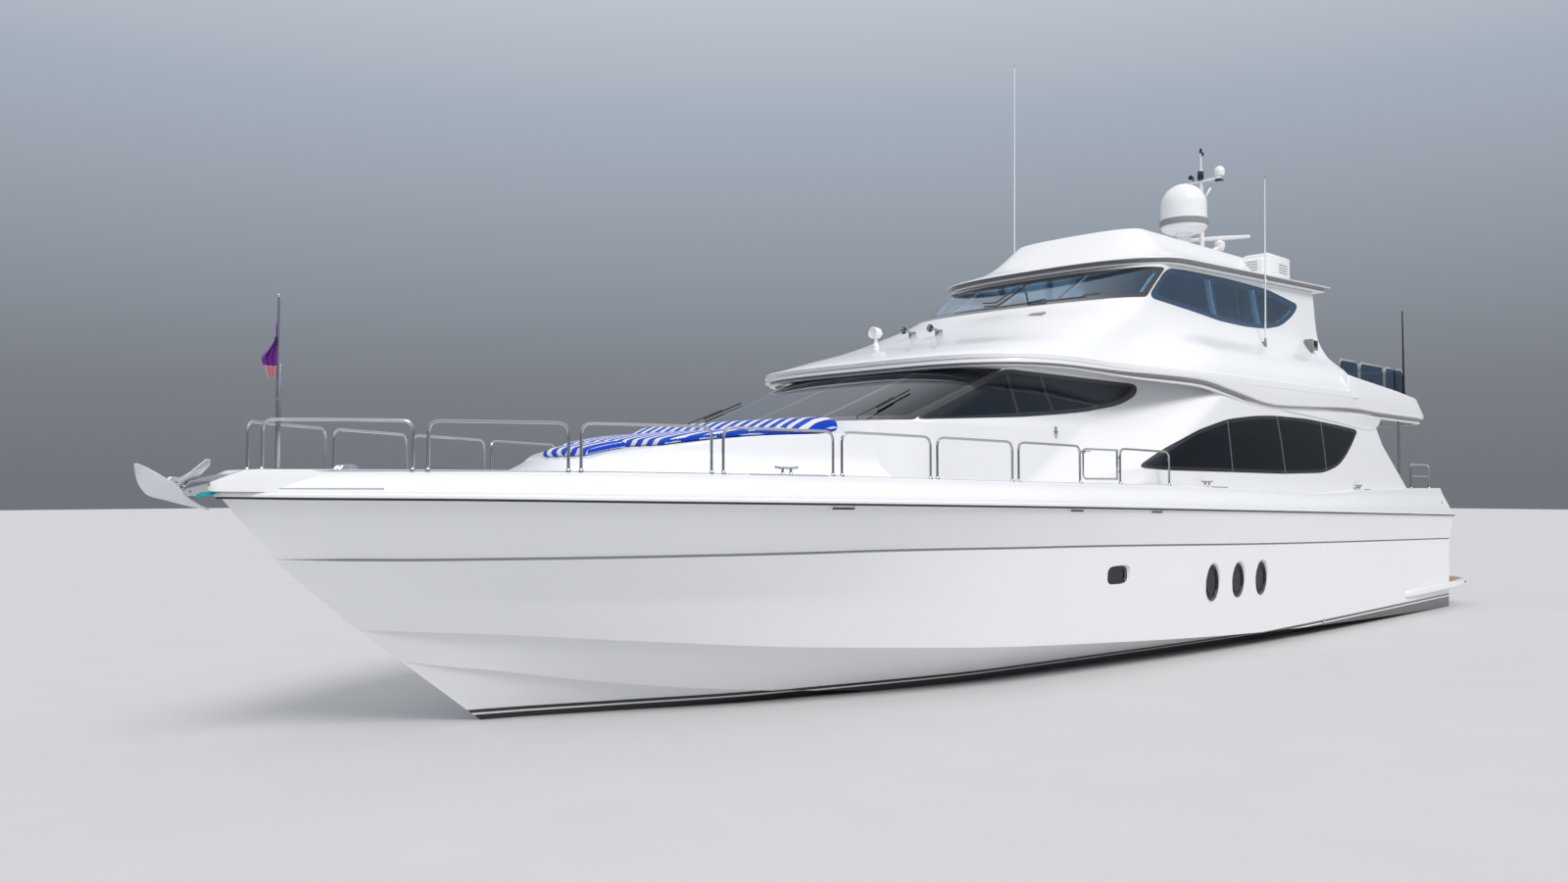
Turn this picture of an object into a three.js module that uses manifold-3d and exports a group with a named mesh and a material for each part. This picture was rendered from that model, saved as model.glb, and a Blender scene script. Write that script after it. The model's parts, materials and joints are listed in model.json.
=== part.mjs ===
// Enclosed-bridge motor yacht, 24 m on deck, afloat.
// Millimetres. +X is the bow, +Y is port, +Z is up. The origin is on the centreline at the waterline, mid length.
import * as THREE from "three";
import { mergeVertices } from "three/addons/utils/BufferGeometryUtils.js";
import Module from "manifold-3d";

const wasm = await Module();
wasm.setup();

// Driving dimensions
const GAP = 0.4; // air between pieces that touch
const HALF_LENGTH = 12000; // stem head and transom from the origin
const HOUSE_WALL = 90;
const GLASS = 30; // depth of the flush window panes
const GLASS_GAP = 0.6;
const RAIL_RADIUS = 16;
const RAIL_HEIGHT = 475;
const RAIL_INSET = 133; // rail centre line from the deck edge
const SOFFIT = 4170; // underside of the boat deck
const BRIDGE_SOLE = 4300; // floor of the bridge and of the boat deck
const ROOF_TILT = 0.031; // the hardtop and the top of the upper house rise aft
const ROOF_LOW = 6060; // underside of the hardtop at its nose
const ROOF_NOSE = -860;
const LIP = 70; // thickness of the lip that hangs from the boat deck's edge

// Offsets of the hull, one row for each station, by the deck edge's x
const HULL_STATIONS = [
  // x, then half breadth and height of the deck edge, knuckle, side, chine and strake, and the keel's height
  { x: 12000, deckY: 0, deckZ: 2450, knuckleY: 0, knuckleZ: 1820, sideY: 0, sideZ: 1420, chineY: 0, chineZ: 1080, strakeY: 0, strakeZ: 720, keelZ: 0 },
  { x: 11400, deckY: 580, deckZ: 2440, knuckleY: 380, knuckleZ: 1810, sideY: 290, sideZ: 1390, chineY: 220, chineZ: 1050, strakeY: 130, strakeZ: 660, keelZ: -120 },
  { x: 10400, deckY: 1270, deckZ: 2430, knuckleY: 940, knuckleZ: 1800, sideY: 710, sideZ: 1360, chineY: 570, chineZ: 1000, strakeY: 360, strakeZ: 570, keelZ: -360 },
  { x: 8600, deckY: 2210, deckZ: 2400, knuckleY: 1820, knuckleZ: 1800, sideY: 1500, sideZ: 1330, chineY: 1260, chineZ: 880, strakeY: 820, strakeZ: 370, keelZ: -700 },
  { x: 6200, deckY: 2950, deckZ: 2360, knuckleY: 2570, knuckleZ: 1800, sideY: 2300, sideZ: 1270, chineY: 2060, chineZ: 700, strakeY: 1450, strakeZ: 140, keelZ: -1000 },
  { x: 3000, deckY: 3270, deckZ: 2300, knuckleY: 3040, knuckleZ: 1760, sideY: 2940, sideZ: 1170, chineY: 2810, chineZ: 500, strakeY: 1850, strakeZ: -130, keelZ: -1130 },
  { x: -3000, deckY: 3270, deckZ: 2170, knuckleY: 3150, knuckleZ: 1620, sideY: 3100, sideZ: 1000, chineY: 3030, chineZ: 210, strakeY: 1950, strakeZ: -300, keelZ: -1150 },
  { x: -12000, deckY: 3000, deckZ: 1970, knuckleY: 2900, knuckleZ: 1440, sideY: 2880, sideZ: 800, chineY: 2860, chineZ: -20, strakeY: 1750, strakeZ: -400, keelZ: -850 },
];
// Where each line of the hull meets the raked stem
const STEM = { deck: 12000, knuckle: 11480, side: 11040, chine: 10640, strake: 10180, keel: 9260 };
const STEM_REACH = 6200; // aft of this x the stations are upright

// Height of the bulwark's cap
const CAP = [
  { x: 12000, z: 2680 },
  { x: 9150, z: 2670 },
  { x: 6600, z: 2640 },
  { x: 3800, z: 2590 },
  { x: 300, z: 2550 },
  { x: -2600, z: 2500 },
  { x: -5050, z: 2435 },
  { x: -7300, z: 2490 },
  { x: -12000, z: 2515 },
];
const CAP_LEAN = 100; // the cap's outer edge from the deck edge
const CAP_WIDTH = 140;

// Lower edge of the band round the boat deck
const BAND_LOW = [
  { x: 3600, z: 4220 },
  { x: 1700, z: 4215 },
  { x: 300, z: 4185 },
  { x: -1100, z: 4160 },
  { x: -2200, z: 4040 },
  { x: -3700, z: 3890 },
  { x: -4900, z: 3920 },
  { x: -7000, z: 3980 },
  { x: -8200, z: 3950 },
  { x: -11050, z: 3925 },
];
// Upper edge of the coaming round the open boat deck
const COAMING = [
  { x: -5000, z: 5000 },
  { x: -5900, z: 4730 },
  { x: -7100, z: 4610 },
  { x: -8250, z: 4520 },
  { x: -9550, z: 4420 },
  { x: -10450, z: 4300 },
  { x: -11050, z: 4080 },
];

// Half plans of the houses at a few heights: nose on the centreline, corner where the front turns into
// the side, half breadth there, flare to the wide part between flareFrom and flareTo, and the aft end
const MAIN_HOUSE = [
  { z: 1850, nose: 5600, corner: 4300, breadth: 2300, flareFrom: 3900, flareTo: 2400, wide: 2960, aft: -10400 },
  { z: 3330, nose: 5450, corner: 4100, breadth: 2240, flareFrom: 1100, flareTo: -300, wide: 2930, aft: -8300 },
  { z: 4270, nose: 2950, corner: 1950, breadth: 2060, flareFrom: -750, flareTo: -1900, wide: 2880, aft: -7560 },
];
const BOAT_DECK = [
  { z: 3700, nose: 3370, corner: 1500, breadth: 2700, flareFrom: 1200, flareTo: -1900, wide: 2950, aft: -10980, blunt: 3.3 },
  { z: 4220, nose: 3440, corner: 1500, breadth: 2740, flareFrom: 1200, flareTo: -1900, wide: 2990, aft: -11050, blunt: 3.3 },
  { z: 5000, nose: 3440, corner: 1500, breadth: 2700, flareFrom: 1200, flareTo: -1900, wide: 2880, aft: -10300, blunt: 3.3 },
];
const UPPER_HOUSE = [
  { z: 3900, nose: 3420, corner: 1500, breadth: 2725, flareFrom: 1200, flareTo: -1900, wide: 2970, aft: -7100, blunt: 3.3 },
  { z: 4250, nose: 3420, corner: 1500, breadth: 2725, flareFrom: 1200, flareTo: -1900, wide: 2970, aft: -7100, blunt: 3.3 },
  { z: 4450, nose: 2900, corner: 1100, breadth: 2600, flareFrom: 800, flareTo: -1900, wide: 2900, aft: -7100, blunt: 3.1 },
  { z: 4680, nose: 2050, corner: 500, breadth: 2480, flareFrom: 200, flareTo: -2100, wide: 2740, aft: -7100, blunt: 2.9 },
  { z: 5000, nose: 1100, corner: -200, breadth: 2360, flareFrom: -600, flareTo: -2300, wide: 2400, aft: -7100 },
  { z: 5370, nose: 160, corner: -1000, breadth: 2230, flareFrom: -1500, flareTo: -3000, wide: 2230, aft: -7100 },
  { z: ROOF_LOW - GAP, nose: -1040, corner: -1700, breadth: 2150, flareFrom: -2000, flareTo: -3200, wide: 2150, aft: -7100, tilt: ROOF_TILT },
];
const HARDTOP = [
  { z: ROOF_LOW, nose: ROOF_NOSE, corner: -2100, breadth: 2300, flareFrom: -2400, flareTo: -3300, wide: 2300, aft: -7430, tilt: ROOF_TILT },
  { z: 6150, nose: -840, corner: -2100, breadth: 2340, flareFrom: -2400, flareTo: -3300, wide: 2340, aft: -7480, tilt: ROOF_TILT },
  { z: 6260, nose: -1150, corner: -2300, breadth: 2120, flareFrom: -2600, flareTo: -3400, wide: 2120, aft: -7400, tilt: 0.02 },
  { z: 6400, nose: -1450, corner: -2400, breadth: 1800, flareFrom: -2700, flareTo: -3500, wide: 1800, aft: -7200, tilt: 0 },
  { z: 6920, nose: -2100, corner: -2500, breadth: 1250, flareFrom: -2800, flareTo: -3500, wide: 1250, aft: -6200, tilt: 0 },
];
const TRUNK = [
  { z: 1850, nose: 9650, corner: 5400, breadth: 2250, flareFrom: 5200, flareTo: 4600, wide: 2250, aft: 4000, blunt: 2 },
  { z: 2450, nose: 9350, corner: 5300, breadth: 2200, flareFrom: 5100, flareTo: 4600, wide: 2200, aft: 4000, blunt: 2 },
  { z: 2870, nose: 8500, corner: 5200, breadth: 1960, flareFrom: 5000, flareTo: 4600, wide: 2000, aft: 4000, blunt: 2 },
  { z: 3500, nose: 8350, corner: 5200, breadth: 1900, flareFrom: 5000, flareTo: 4600, wide: 1900, aft: 4000, blunt: 2 },
];
// Top of the trunk on the foredeck, from its front to the windscreen
const TRUNK_TOP = [
  { x: 9700, z: 2350 },
  { x: 8900, z: 2600 },
  { x: 8500, z: 2750 },
  { x: 8240, z: 2862 },
  { x: 7620, z: 2985 },
  { x: 6670, z: 3105 },
  { x: 5980, z: 3140 },
  { x: 3500, z: 3300 },
];

// Window outlines in side view, as [x, z]
const MAIN_WINDSCREEN = [[6200, 3330], [4620, 3350], [2640, 4120], [6200, 4120]];
const MAIN_SIDE_WINDOW = [
  [4600, 3350], [2440, 3470], [1460, 3550], [760, 3620], [20, 3740], [-370, 3880], [-570, 4010], [-610, 4110], [2620, 4120],
];
const SALOON_WINDOW = [
  [580, 2795], [-120, 3080], [-1050, 3380], [-2050, 3590], [-3000, 3680], [-3710, 3712], [-4920, 3712], [-6240, 3650],
  [-7160, 3590], [-6990, 3440], [-6620, 3140], [-6200, 2910], [-5530, 2780], [-3960, 2750], [-100, 2770],
];
const UPPER_WINDSCREEN = [[900, 5380], [140, 5385], [-900, 5475], [-1560, 6020], [900, 6010]];
const UPPER_SIDE_WINDOW = [
  [-940, 5475], [-2300, 5390], [-3200, 5315], [-4100, 5305], [-4900, 5345], [-5550, 5455], [-6100, 5685], [-6430, 5935],
  [-5150, 6085], [-3650, 6095], [-2300, 6065], [-1600, 6020],
];

// Side rails, each a hoop between two legs
const RAILS = [
  { from: 11673, to: 10573 },
  { from: 10453, to: 9303 },
  { from: 9192, to: 7952 },
  { from: 7832, to: 6600 },
  { from: 6488, to: 5236 },
  { from: 5131, to: 3872 },
  { from: 3755, to: 2456 },
  { from: 1488, to: 188 },
];
const RAIL_STRIP = { width: 54, height: 6 };
const SIDE_GATE = { hinge: 1562, latch: 2379, low: 65, high: 450 };

// Under water
const SHAFT = { y: 1350, fromX: -5600, toX: -9350, toZ: -1150, radius: 50, slope: 0.075 };
const PROPELLER = { radius: 520, hub: 95, length: 260, blades: 5 };
const RUDDER = { x: -10450, top: -560, depth: 900, chord: 700, thickness: 90 };

// Cubic curve through a table's rows, as a function of x, with no overshoot
function curve(rows, key) {
  const row = [...rows].sort((a, b) => a.x - b.x);
  const n = row.length;
  const slope = [];
  for (let i = 0; i < n - 1; i++) slope.push((row[i + 1][key] - row[i][key]) / (row[i + 1].x - row[i].x));
  const tangent = row.map((_, i) => {
    if (i === 0) return slope[0];
    if (i === n - 1) return slope[n - 2];
    if (slope[i - 1] * slope[i] <= 0) return 0;
    const a = row[i].x - row[i - 1].x;
    const b = row[i + 1].x - row[i].x;
    return (3 * (a + b)) / ((2 * b + a) / slope[i - 1] + (b + 2 * a) / slope[i]);
  });
  return (x) => {
    let i = 0;
    while (i < n - 2 && x > row[i + 1].x) i++;
    const h = row[i + 1].x - row[i].x;
    const t = THREE.MathUtils.clamp((x - row[i].x) / h, 0, 1);
    const u = 1 - t;
    return (
      (1 + 2 * t) * u * u * row[i][key] +
      t * u * u * h * tangent[i] +
      t * t * (3 - 2 * t) * row[i + 1][key] -
      t * t * u * h * tangent[i + 1]
    );
  };
}

// A closed geometry through rings of equal length, each a closed loop of Vector3, with its ends capped
function loft(rings) {
  const positions = [];
  const index = [];
  const known = new Map();
  const vertex = (p) => {
    const key = [p.x, p.y, p.z].map((v) => Math.round(v * 200)).join();
    if (!known.has(key)) {
      known.set(key, known.size);
      positions.push(p.x, p.y, p.z);
    }
    return known.get(key);
  };
  const triangle = (a, b, c) => {
    if (a !== b && b !== c && c !== a) index.push(a, b, c);
  };
  const ids = rings.map((ring) => ring.map(vertex));
  const n = rings[0].length;
  for (let r = 0; r < rings.length - 1; r++) {
    for (let i = 0; i < n; i++) {
      const j = (i + 1) % n;
      triangle(ids[r][i], ids[r][j], ids[r + 1][j]);
      triangle(ids[r][i], ids[r + 1][j], ids[r + 1][i]);
    }
  }
  const cap = (ring, id, flip) => {
    const normal = new THREE.Vector3();
    ring.forEach((p, i) => normal.add(new THREE.Vector3().crossVectors(p, ring[(i + 1) % n])));
    if (normal.length() < 1) return;
    const size = normal.clone().set(Math.abs(normal.x), Math.abs(normal.y), Math.abs(normal.z));
    let flat = (p) => new THREE.Vector2(p.x, p.y);
    if (size.x >= size.y && size.x >= size.z) flat = (p) => new THREE.Vector2(p.y, p.z);
    else if (size.y >= size.z) flat = (p) => new THREE.Vector2(p.z, p.x);
    const points = ring.map(flat);
    const turned = THREE.ShapeUtils.isClockWise(points);
    const order = points.map((_, i) => (turned ? n - 1 - i : i));
    const faces = THREE.ShapeUtils.triangulateShape(order.map((i) => points[i]), []);
    const backwards = flip !== turned;
    for (const [a, b, c] of faces) {
      const face = [id[order[a]], id[order[b]], id[order[c]]];
      triangle(face[0], backwards ? face[2] : face[1], backwards ? face[1] : face[2]);
    }
  };
  cap(rings[0], ids[0], true);
  cap(rings[rings.length - 1], ids[rings.length - 1], false);
  const geometry = new THREE.BufferGeometry();
  geometry.setAttribute("position", new THREE.Float32BufferAttribute(positions, 3));
  geometry.setIndex(signedVolume(positions, index) < 0 ? index.reverse() : index);
  return geometry;
}

function signedVolume(positions, index) {
  const corner = (i) => new THREE.Vector3().fromArray(positions, 3 * i);
  let sum = 0;
  for (let i = 0; i < index.length; i += 3) {
    sum += corner(index[i]).dot(corner(index[i + 1]).cross(corner(index[i + 2])));
  }
  return sum / 6;
}

// Solids: a closed geometry becomes one that can be joined and cut
function solid(geometry) {
  const plain = geometry.clone();
  plain.deleteAttribute("normal");
  plain.deleteAttribute("uv");
  const merged = mergeVertices(plain, 1e-3);
  return new wasm.Manifold(
    new wasm.Mesh({
      numProp: 3,
      vertProperties: new Float32Array(merged.attributes.position.array),
      triVerts: new Uint32Array(merged.index.array),
    }),
  );
}
const joined = (parts) => parts.reduce((all, part) => all.add(part));
const largest = (part) => part.decompose().sort((a, b) => b.volume() - a.volume())[0];
// What is left of a part once its neighbour is taken away, with some air on the sides given
const ABOVE = [0, 0, GAP];
const BELOW = [0, 0, -GAP];
const ASIDE = [[0, GAP, 0], [0, -GAP, 0]];
const clearOf = (part, neighbour, ...shifts) => {
  return shifts.reduce((rest, shift) => rest.subtract(neighbour.translate(shift)), part.subtract(neighbour));
};
const box = (x0, x1, y0, y1, z0, z1) => {
  const geometry = new THREE.BoxGeometry(x1 - x0, y1 - y0, z1 - z0);
  return solid(geometry.translate((x0 + x1) / 2, (y0 + y1) / 2, (z0 + z1) / 2));
};
const bar = (from, to, radius, sides = 8, endRadius = radius) => {
  const along = new THREE.Vector3().subVectors(to, from);
  const geometry = new THREE.CylinderGeometry(endRadius, radius, along.length(), sides);
  geometry.applyQuaternion(
    new THREE.Quaternion().setFromUnitVectors(new THREE.Vector3(0, 1, 0), along.clone().normalize()),
  );
  const middle = from.clone().lerp(to, 0.5);
  return solid(geometry.translate(middle.x, middle.y, middle.z));
};
const at = (x, y, z) => new THREE.Vector3(x, y, z);

// A round pipe through points, with mitred corners
function pipe(points, radius, sides = 6) {
  const rings = points.map((p, i) => {
    const before = points[Math.max(i - 1, 0)];
    const after = points[Math.min(i + 1, points.length - 1)];
    const into = p.clone().sub(before).normalize();
    const out = after.clone().sub(p).normalize();
    const along = into.add(out).normalize();
    const aside = Math.abs(along.z) > 0.9 ? at(0, 1, 0) : at(0, 0, 1);
    const u = new THREE.Vector3().crossVectors(along, aside).normalize();
    const v = new THREE.Vector3().crossVectors(along, u);
    return Array.from({ length: sides }, (_, k) => {
      const angle = (2 * Math.PI * k) / sides;
      return p.clone().addScaledVector(u, radius * Math.cos(angle)).addScaledVector(v, radius * Math.sin(angle));
    });
  });
  return solid(loft(rings));
}

// A prism across the boat from an outline in side view
function prism(outline, y0, y1) {
  const shape = new THREE.Shape(outline.map(([x, z]) => new THREE.Vector2(x, z)));
  const geometry = new THREE.ExtrudeGeometry(shape, { depth: y1 - y0, bevelEnabled: false });
  return solid(geometry.rotateX(Math.PI / 2).translate(0, y1, 0));
}

// An outline moved outwards by a distance, or inwards if it is negative
function grown(outline, distance) {
  const area = THREE.ShapeUtils.area(outline.map(([x, z]) => new THREE.Vector2(x, z)));
  const side = Math.sign(area) * distance;
  const n = outline.length;
  return outline.map(([x, z], i) => {
    const [xa, za] = outline[(i + n - 1) % n];
    const [xb, zb] = outline[(i + 1) % n];
    const a = new THREE.Vector2(z - za, xa - x).normalize();
    const b = new THREE.Vector2(zb - z, x - xb).normalize();
    const m = a.clone().add(b);
    const scale = (2 * side) / Math.max(m.lengthSq(), 0.5);
    return [x + m.x * scale, z + m.y * scale];
  });
}

// Half plan of a house level, from the nose to the aft end, brought in by an inset
const FRONT_STEPS = 8;
const FLARE_STEPS = 4;
function halfPlan(level, inset) {
  const points = [];
  const breadth = level.breadth - inset;
  const nose = level.nose - inset;
  const power = 2 / (level.blunt ?? 2.7);
  for (let i = 0; i <= FRONT_STEPS; i++) {
    const angle = (i / FRONT_STEPS) * (Math.PI / 2);
    const forward = i === FRONT_STEPS ? 0 : Math.cos(angle) ** power;
    points.push([level.corner + (nose - level.corner) * forward, breadth * Math.sin(angle) ** power]);
  }
  for (let i = 0; i <= FLARE_STEPS; i++) {
    const t = i / FLARE_STEPS;
    const y = THREE.MathUtils.lerp(level.breadth, level.wide, THREE.MathUtils.smoothstep(t, 0, 1)) - inset;
    points.push([THREE.MathUtils.lerp(level.flareFrom, level.flareTo, t), y]);
  }
  points.push([level.aft + inset, level.wide - inset]);
  return points;
}
function houseRing(level, inset = 0) {
  const port = halfPlan(level, inset);
  const tilt = level.tilt ?? 0;
  const place = (x, y) => at(x, y, level.z + tilt * (ROOF_NOSE - x));
  const starboard = port.slice(1).reverse();
  return [...port.map(([x, y]) => place(x, y)), ...starboard.map(([x, y]) => place(x, -y))];
}
const house = (levels, inset = 0) => solid(loft(levels.map((level) => houseRing(level, inset))));

// Everything between two heights, across the whole beam, through slices at the given places
const evenly = (from, to, steps) => Array.from({ length: steps + 1 }, (_, i) => THREE.MathUtils.lerp(from, to, i / steps));
function slab(places, low, high, breadth = 8000) {
  const rings = places.map((x) => [
    at(x, -breadth / 2, low(x)),
    at(x, breadth / 2, low(x)),
    at(x, breadth / 2, high(x)),
    at(x, -breadth / 2, high(x)),
  ]);
  return solid(loft(rings));
}

// The scene graph
const yacht = new THREE.Group();
const PAINT = {
  topsides: { color: 0xe9ebee, roughness: 0.25, metalness: 0 },
  gelcoat: { color: 0xfafafa, roughness: 0.2, metalness: 0 },
  stainless: { color: 0xc9cdd1, roughness: 0.15, metalness: 1 },
  glass: { color: 0x11161d, roughness: 0.05, metalness: 0 },
  smoked: { color: 0x3d5a75, roughness: 0.1, metalness: 0 },
  cloth: { color: 0x1f4fc4, roughness: 0.9, metalness: 0 },
  pennant: { color: 0x5b3a8c, roughness: 0.9, metalness: 0 },
  bronze: { color: 0xa9783a, roughness: 0.35, metalness: 1 },
  leather: { color: 0xd8cfc0, roughness: 0.7, metalness: 0 },
  wood: { color: 0x7a5330, roughness: 0.5, metalness: 0 },
};
function add(name, part, paint) {
  const mesh = part.getMesh();
  const geometry = new THREE.BufferGeometry();
  geometry.setAttribute("position", new THREE.BufferAttribute(new Float32Array(mesh.vertProperties), 3));
  geometry.setIndex(new THREE.BufferAttribute(new Uint32Array(mesh.triVerts), 1));
  geometry.computeVertexNormals();
  const node = new THREE.Mesh(geometry, new THREE.MeshStandardMaterial(PAINT[paint]));
  node.name = name;
  yacht.add(node);
}
const SIDES = [
  { side: "port", sign: 1 },
  { side: "starboard", sign: -1 },
];
const mirrored = (part, sign) => (sign > 0 ? part : part.mirror([0, 1, 0]));

// Hull lines
const hullCurve = {};
for (const line of ["deck", "knuckle", "side", "chine", "strake"]) {
  hullCurve[line] = { y: curve(HULL_STATIONS, line + "Y"), z: curve(HULL_STATIONS, line + "Z") };
}
const keelZ = curve(HULL_STATIONS, "keelZ");
const capZ = curve(CAP, "z");
const STATION_COUNT = 36;
const stationX = Array.from({ length: STATION_COUNT + 1 }, (_, i) => {
  return HALF_LENGTH - 2 * HALF_LENGTH * (i / STATION_COUNT) ** 1.35;
});
const stemShift = (line, x) => {
  const t = Math.max(0, (x - STEM_REACH) / (HALF_LENGTH - STEM_REACH));
  return x - (HALF_LENGTH - STEM[line]) * t ** 1.5;
};
const hullPoint = (line, x, sign) => at(stemShift(line, x), sign * hullCurve[line].y(x), hullCurve[line].z(x));
function hullSolid() {
  const lines = ["deck", "knuckle", "side", "chine", "strake"];
  return solid(
    loft(
      stationX.map((x) => [
        ...lines.map((line) => hullPoint(line, x, 1)),
        at(stemShift("keel", x), 0, keelZ(x)),
        ...lines.map((line) => hullPoint(line, x, -1)).reverse(),
      ]),
    ),
  );
}
// Deck edge in plan with its outward normal, from the transom to the bow on port and back on starboard
function deckEdge(outwards, lift = 0, from = -HALF_LENGTH) {
  const port = stationX.filter((x) => x >= from - 1).reverse();
  const y = hullCurve.deck.y;
  const z = hullCurve.deck.z;
  const place = (x, sign) => {
    const slope = (y(x) - y(x - 50)) / 50;
    const normal = x > HALF_LENGTH - 1 ? at(1, 0, 0) : at(-slope, 1, 0).normalize();
    return at(x + normal.x * outwards, sign * (y(x) + normal.y * outwards), z(x) + lift);
  };
  const edge = port.map((x) => place(x, 1));
  return [...edge, ...port.slice(0, -1).reverse().map((x) => place(x, -1))];
}

// Hull, with recesses for the port lights
const PORT_LIGHTS = [
  { x: -1154, z: 1106, width: 300, height: 565 },
  { x: -1952, z: 1105, width: 300, height: 550 },
  { x: -2719, z: 1098, width: 300, height: 555 },
];
const SQUARE_LIGHT = { x: 1392, z: 1337, width: 430, height: 245 };
const LIGHT_DEPTH = 60;
function lightOutline({ x, z, width, height }, round) {
  const steps = 16;
  return Array.from({ length: steps }, (_, i) => {
    const angle = (2 * Math.PI * (i + 0.5)) / steps;
    const power = round ? 1 : 0.5;
    const c = Math.sign(Math.cos(angle)) * Math.abs(Math.cos(angle)) ** power;
    const s = Math.sign(Math.sin(angle)) * Math.abs(Math.sin(angle)) ** power;
    return [x + (width / 2) * c, z + (height / 2) * s];
  });
}
function buildHull() {
  let hull = hullSolid();
  for (const { sign } of SIDES) {
    const lights = [...PORT_LIGHTS.map((l) => lightOutline(l, true)), lightOutline(SQUARE_LIGHT, false)];
    for (const outline of lights) {
      const hullY = hullCurve.side.y(outline[0][0]);
      hull = hull.subtract(mirrored(prism(outline, hullY - LIGHT_DEPTH, hullY + 400), sign));
    }
  }
  add("hull", hull, "topsides");
  return hull;
}

// Bulwark, standing on the deck edge all round, with a gateway in the transom and a slot for the bow roller
const TRANSOM_GATE = { y0: -2250, y1: -1600, x: -11000, thickness: 60 };
const ROLLER = { from: 11150, to: 12350, halfWidth: 95, floor: 2540, plate: 10, x: 12270, z: 2475, radius: 38 };
const BOW_NOSE = [[11300, 2480], [12130, 2480], [12130, 2555], [11850, 2680], [11300, 2680]];
const BOW_NOSE_WIDTH = 500;
function bulwarkStack(inset, low, high) {
  const ring = (outwards, z) => deckEdge(outwards).map((p) => at(p.x, p.y, z(Math.min(p.x, HALF_LENGTH))));
  const deckZ = hullCurve.deck.z;
  return solid(
    loft([
      ring(-inset, (x) => deckZ(x) + low),
      ring(-inset, deckZ),
      ring(-CAP_LEAN - inset, capZ),
      ring(-CAP_LEAN - inset, (x) => capZ(x) + high),
    ]),
  );
}
function buildBulwark(houseCut, deckCut) {
  const outer = bulwarkStack(0, -200, 1);
  const inner = bulwarkStack(CAP_WIDTH, -300, 400);
  const aftEnd = prism([[-11970, 1900], [-11150, 2900], [-14000, 2900], [-14000, 1900]], -4000, 4000);
  const cockpit = box(-10960, -8000, -2750, 2750, 1500, 3200);
  const keepTransom = box(-13000, -10960, -4000, 4000, 1500, 3200);
  const nose = prism(BOW_NOSE, -BOW_NOSE_WIDTH / 2, BOW_NOSE_WIDTH / 2);
  let wall = outer.subtract(inner.subtract(keepTransom)).add(nose).subtract(aftEnd).subtract(cockpit);
  wall = wall.subtract(prism([[11850, 2680], [12130, 2555], [12500, 2400], [12500, 3000], [11850, 3000]], -900, 900));
  wall = wall.subtract(box(-13000, -10000, TRANSOM_GATE.y0, TRANSOM_GATE.y1, 1500, 3200));
  wall = wall.subtract(
    box(ROLLER.from - 20, 13000, -ROLLER.halfWidth - 20, ROLLER.halfWidth + 20, ROLLER.floor - 20, 3200),
  );
  const bulwark = largest(wall.subtract(houseCut).subtract(deckCut));
  add("bulwark", bulwark, "gelcoat");
  return bulwark;
}

function buildRubRail() {
  const section = [
    { out: GAP, up: 22 },
    { out: 38, up: 16 },
    { out: 38, up: -28 },
    { out: GAP + 1, up: -46 },
  ];
  const lines = section.map(({ out, up }) => deckEdge(out, up));
  add("rub_rail", solid(loft(lines[0].map((_, i) => lines.map((line) => line[i])))), "stainless");
}

function buildSwimPlatform(hull) {
  const outline = (out, front) => [
    at(front, 2700, 0), at(-9300, 2975, 0), at(-10300, 2990 + out, 0), at(-12000, 2990 + out, 0), at(-13000, 2900 + out, 0),
    at(-13330 - out, 2600, 0), at(-13420 - out, 1500, 0),
  ];
  const ring = (out, z) => {
    const port = outline(out, -9300);
    const both = [...port, ...port.map((p) => at(p.x, -p.y, 0)).reverse()];
    return both.map((p) => at(p.x, p.y, z + 0.018 * (-9300 - p.x)));
  };
  const plate = solid(loft([ring(-60, 330), ring(20, 400), ring(20, 440), ring(-20, 480)]));
  add("swim_platform", largest(clearOf(plate, hull, [-GAP, 0, 0], ...ASIDE)), "gelcoat");
}

// Main deck house
const BULKHEAD = { main: -7450, upper: -6480 };
const trunkTop = curve(TRUNK_TOP, "z");
function windowedHouse({ levels, wall, windows, mullions, cavityBack, behind }) {
  const envelope = house(levels);
  const glassFace = house(levels, GLASS);
  const glassSeat = house(levels, GLASS + GLASS_GAP);
  const cavity = house(levels.map((level) => ({ ...level, aft: cavityBack - wall })), wall);
  let shell = envelope.subtract(cavity).subtract(behind);
  const panes = {};
  for (const [name, { outline, y0, y1 }] of Object.entries(windows)) {
    const opening = prism(outline, y0, y1);
    const pane = prism(grown(outline, -GLASS_GAP), y0, y1);
    shell = shell.subtract(opening.subtract(glassSeat));
    shell = shell.subtract(mullions.reduce((hole, bars) => hole.subtract(bars), prism(grown(outline, -45), y0, y1)));
    panes[name] = envelope.intersect(pane).subtract(glassFace);
  }
  return { shell, panes };
}

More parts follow.
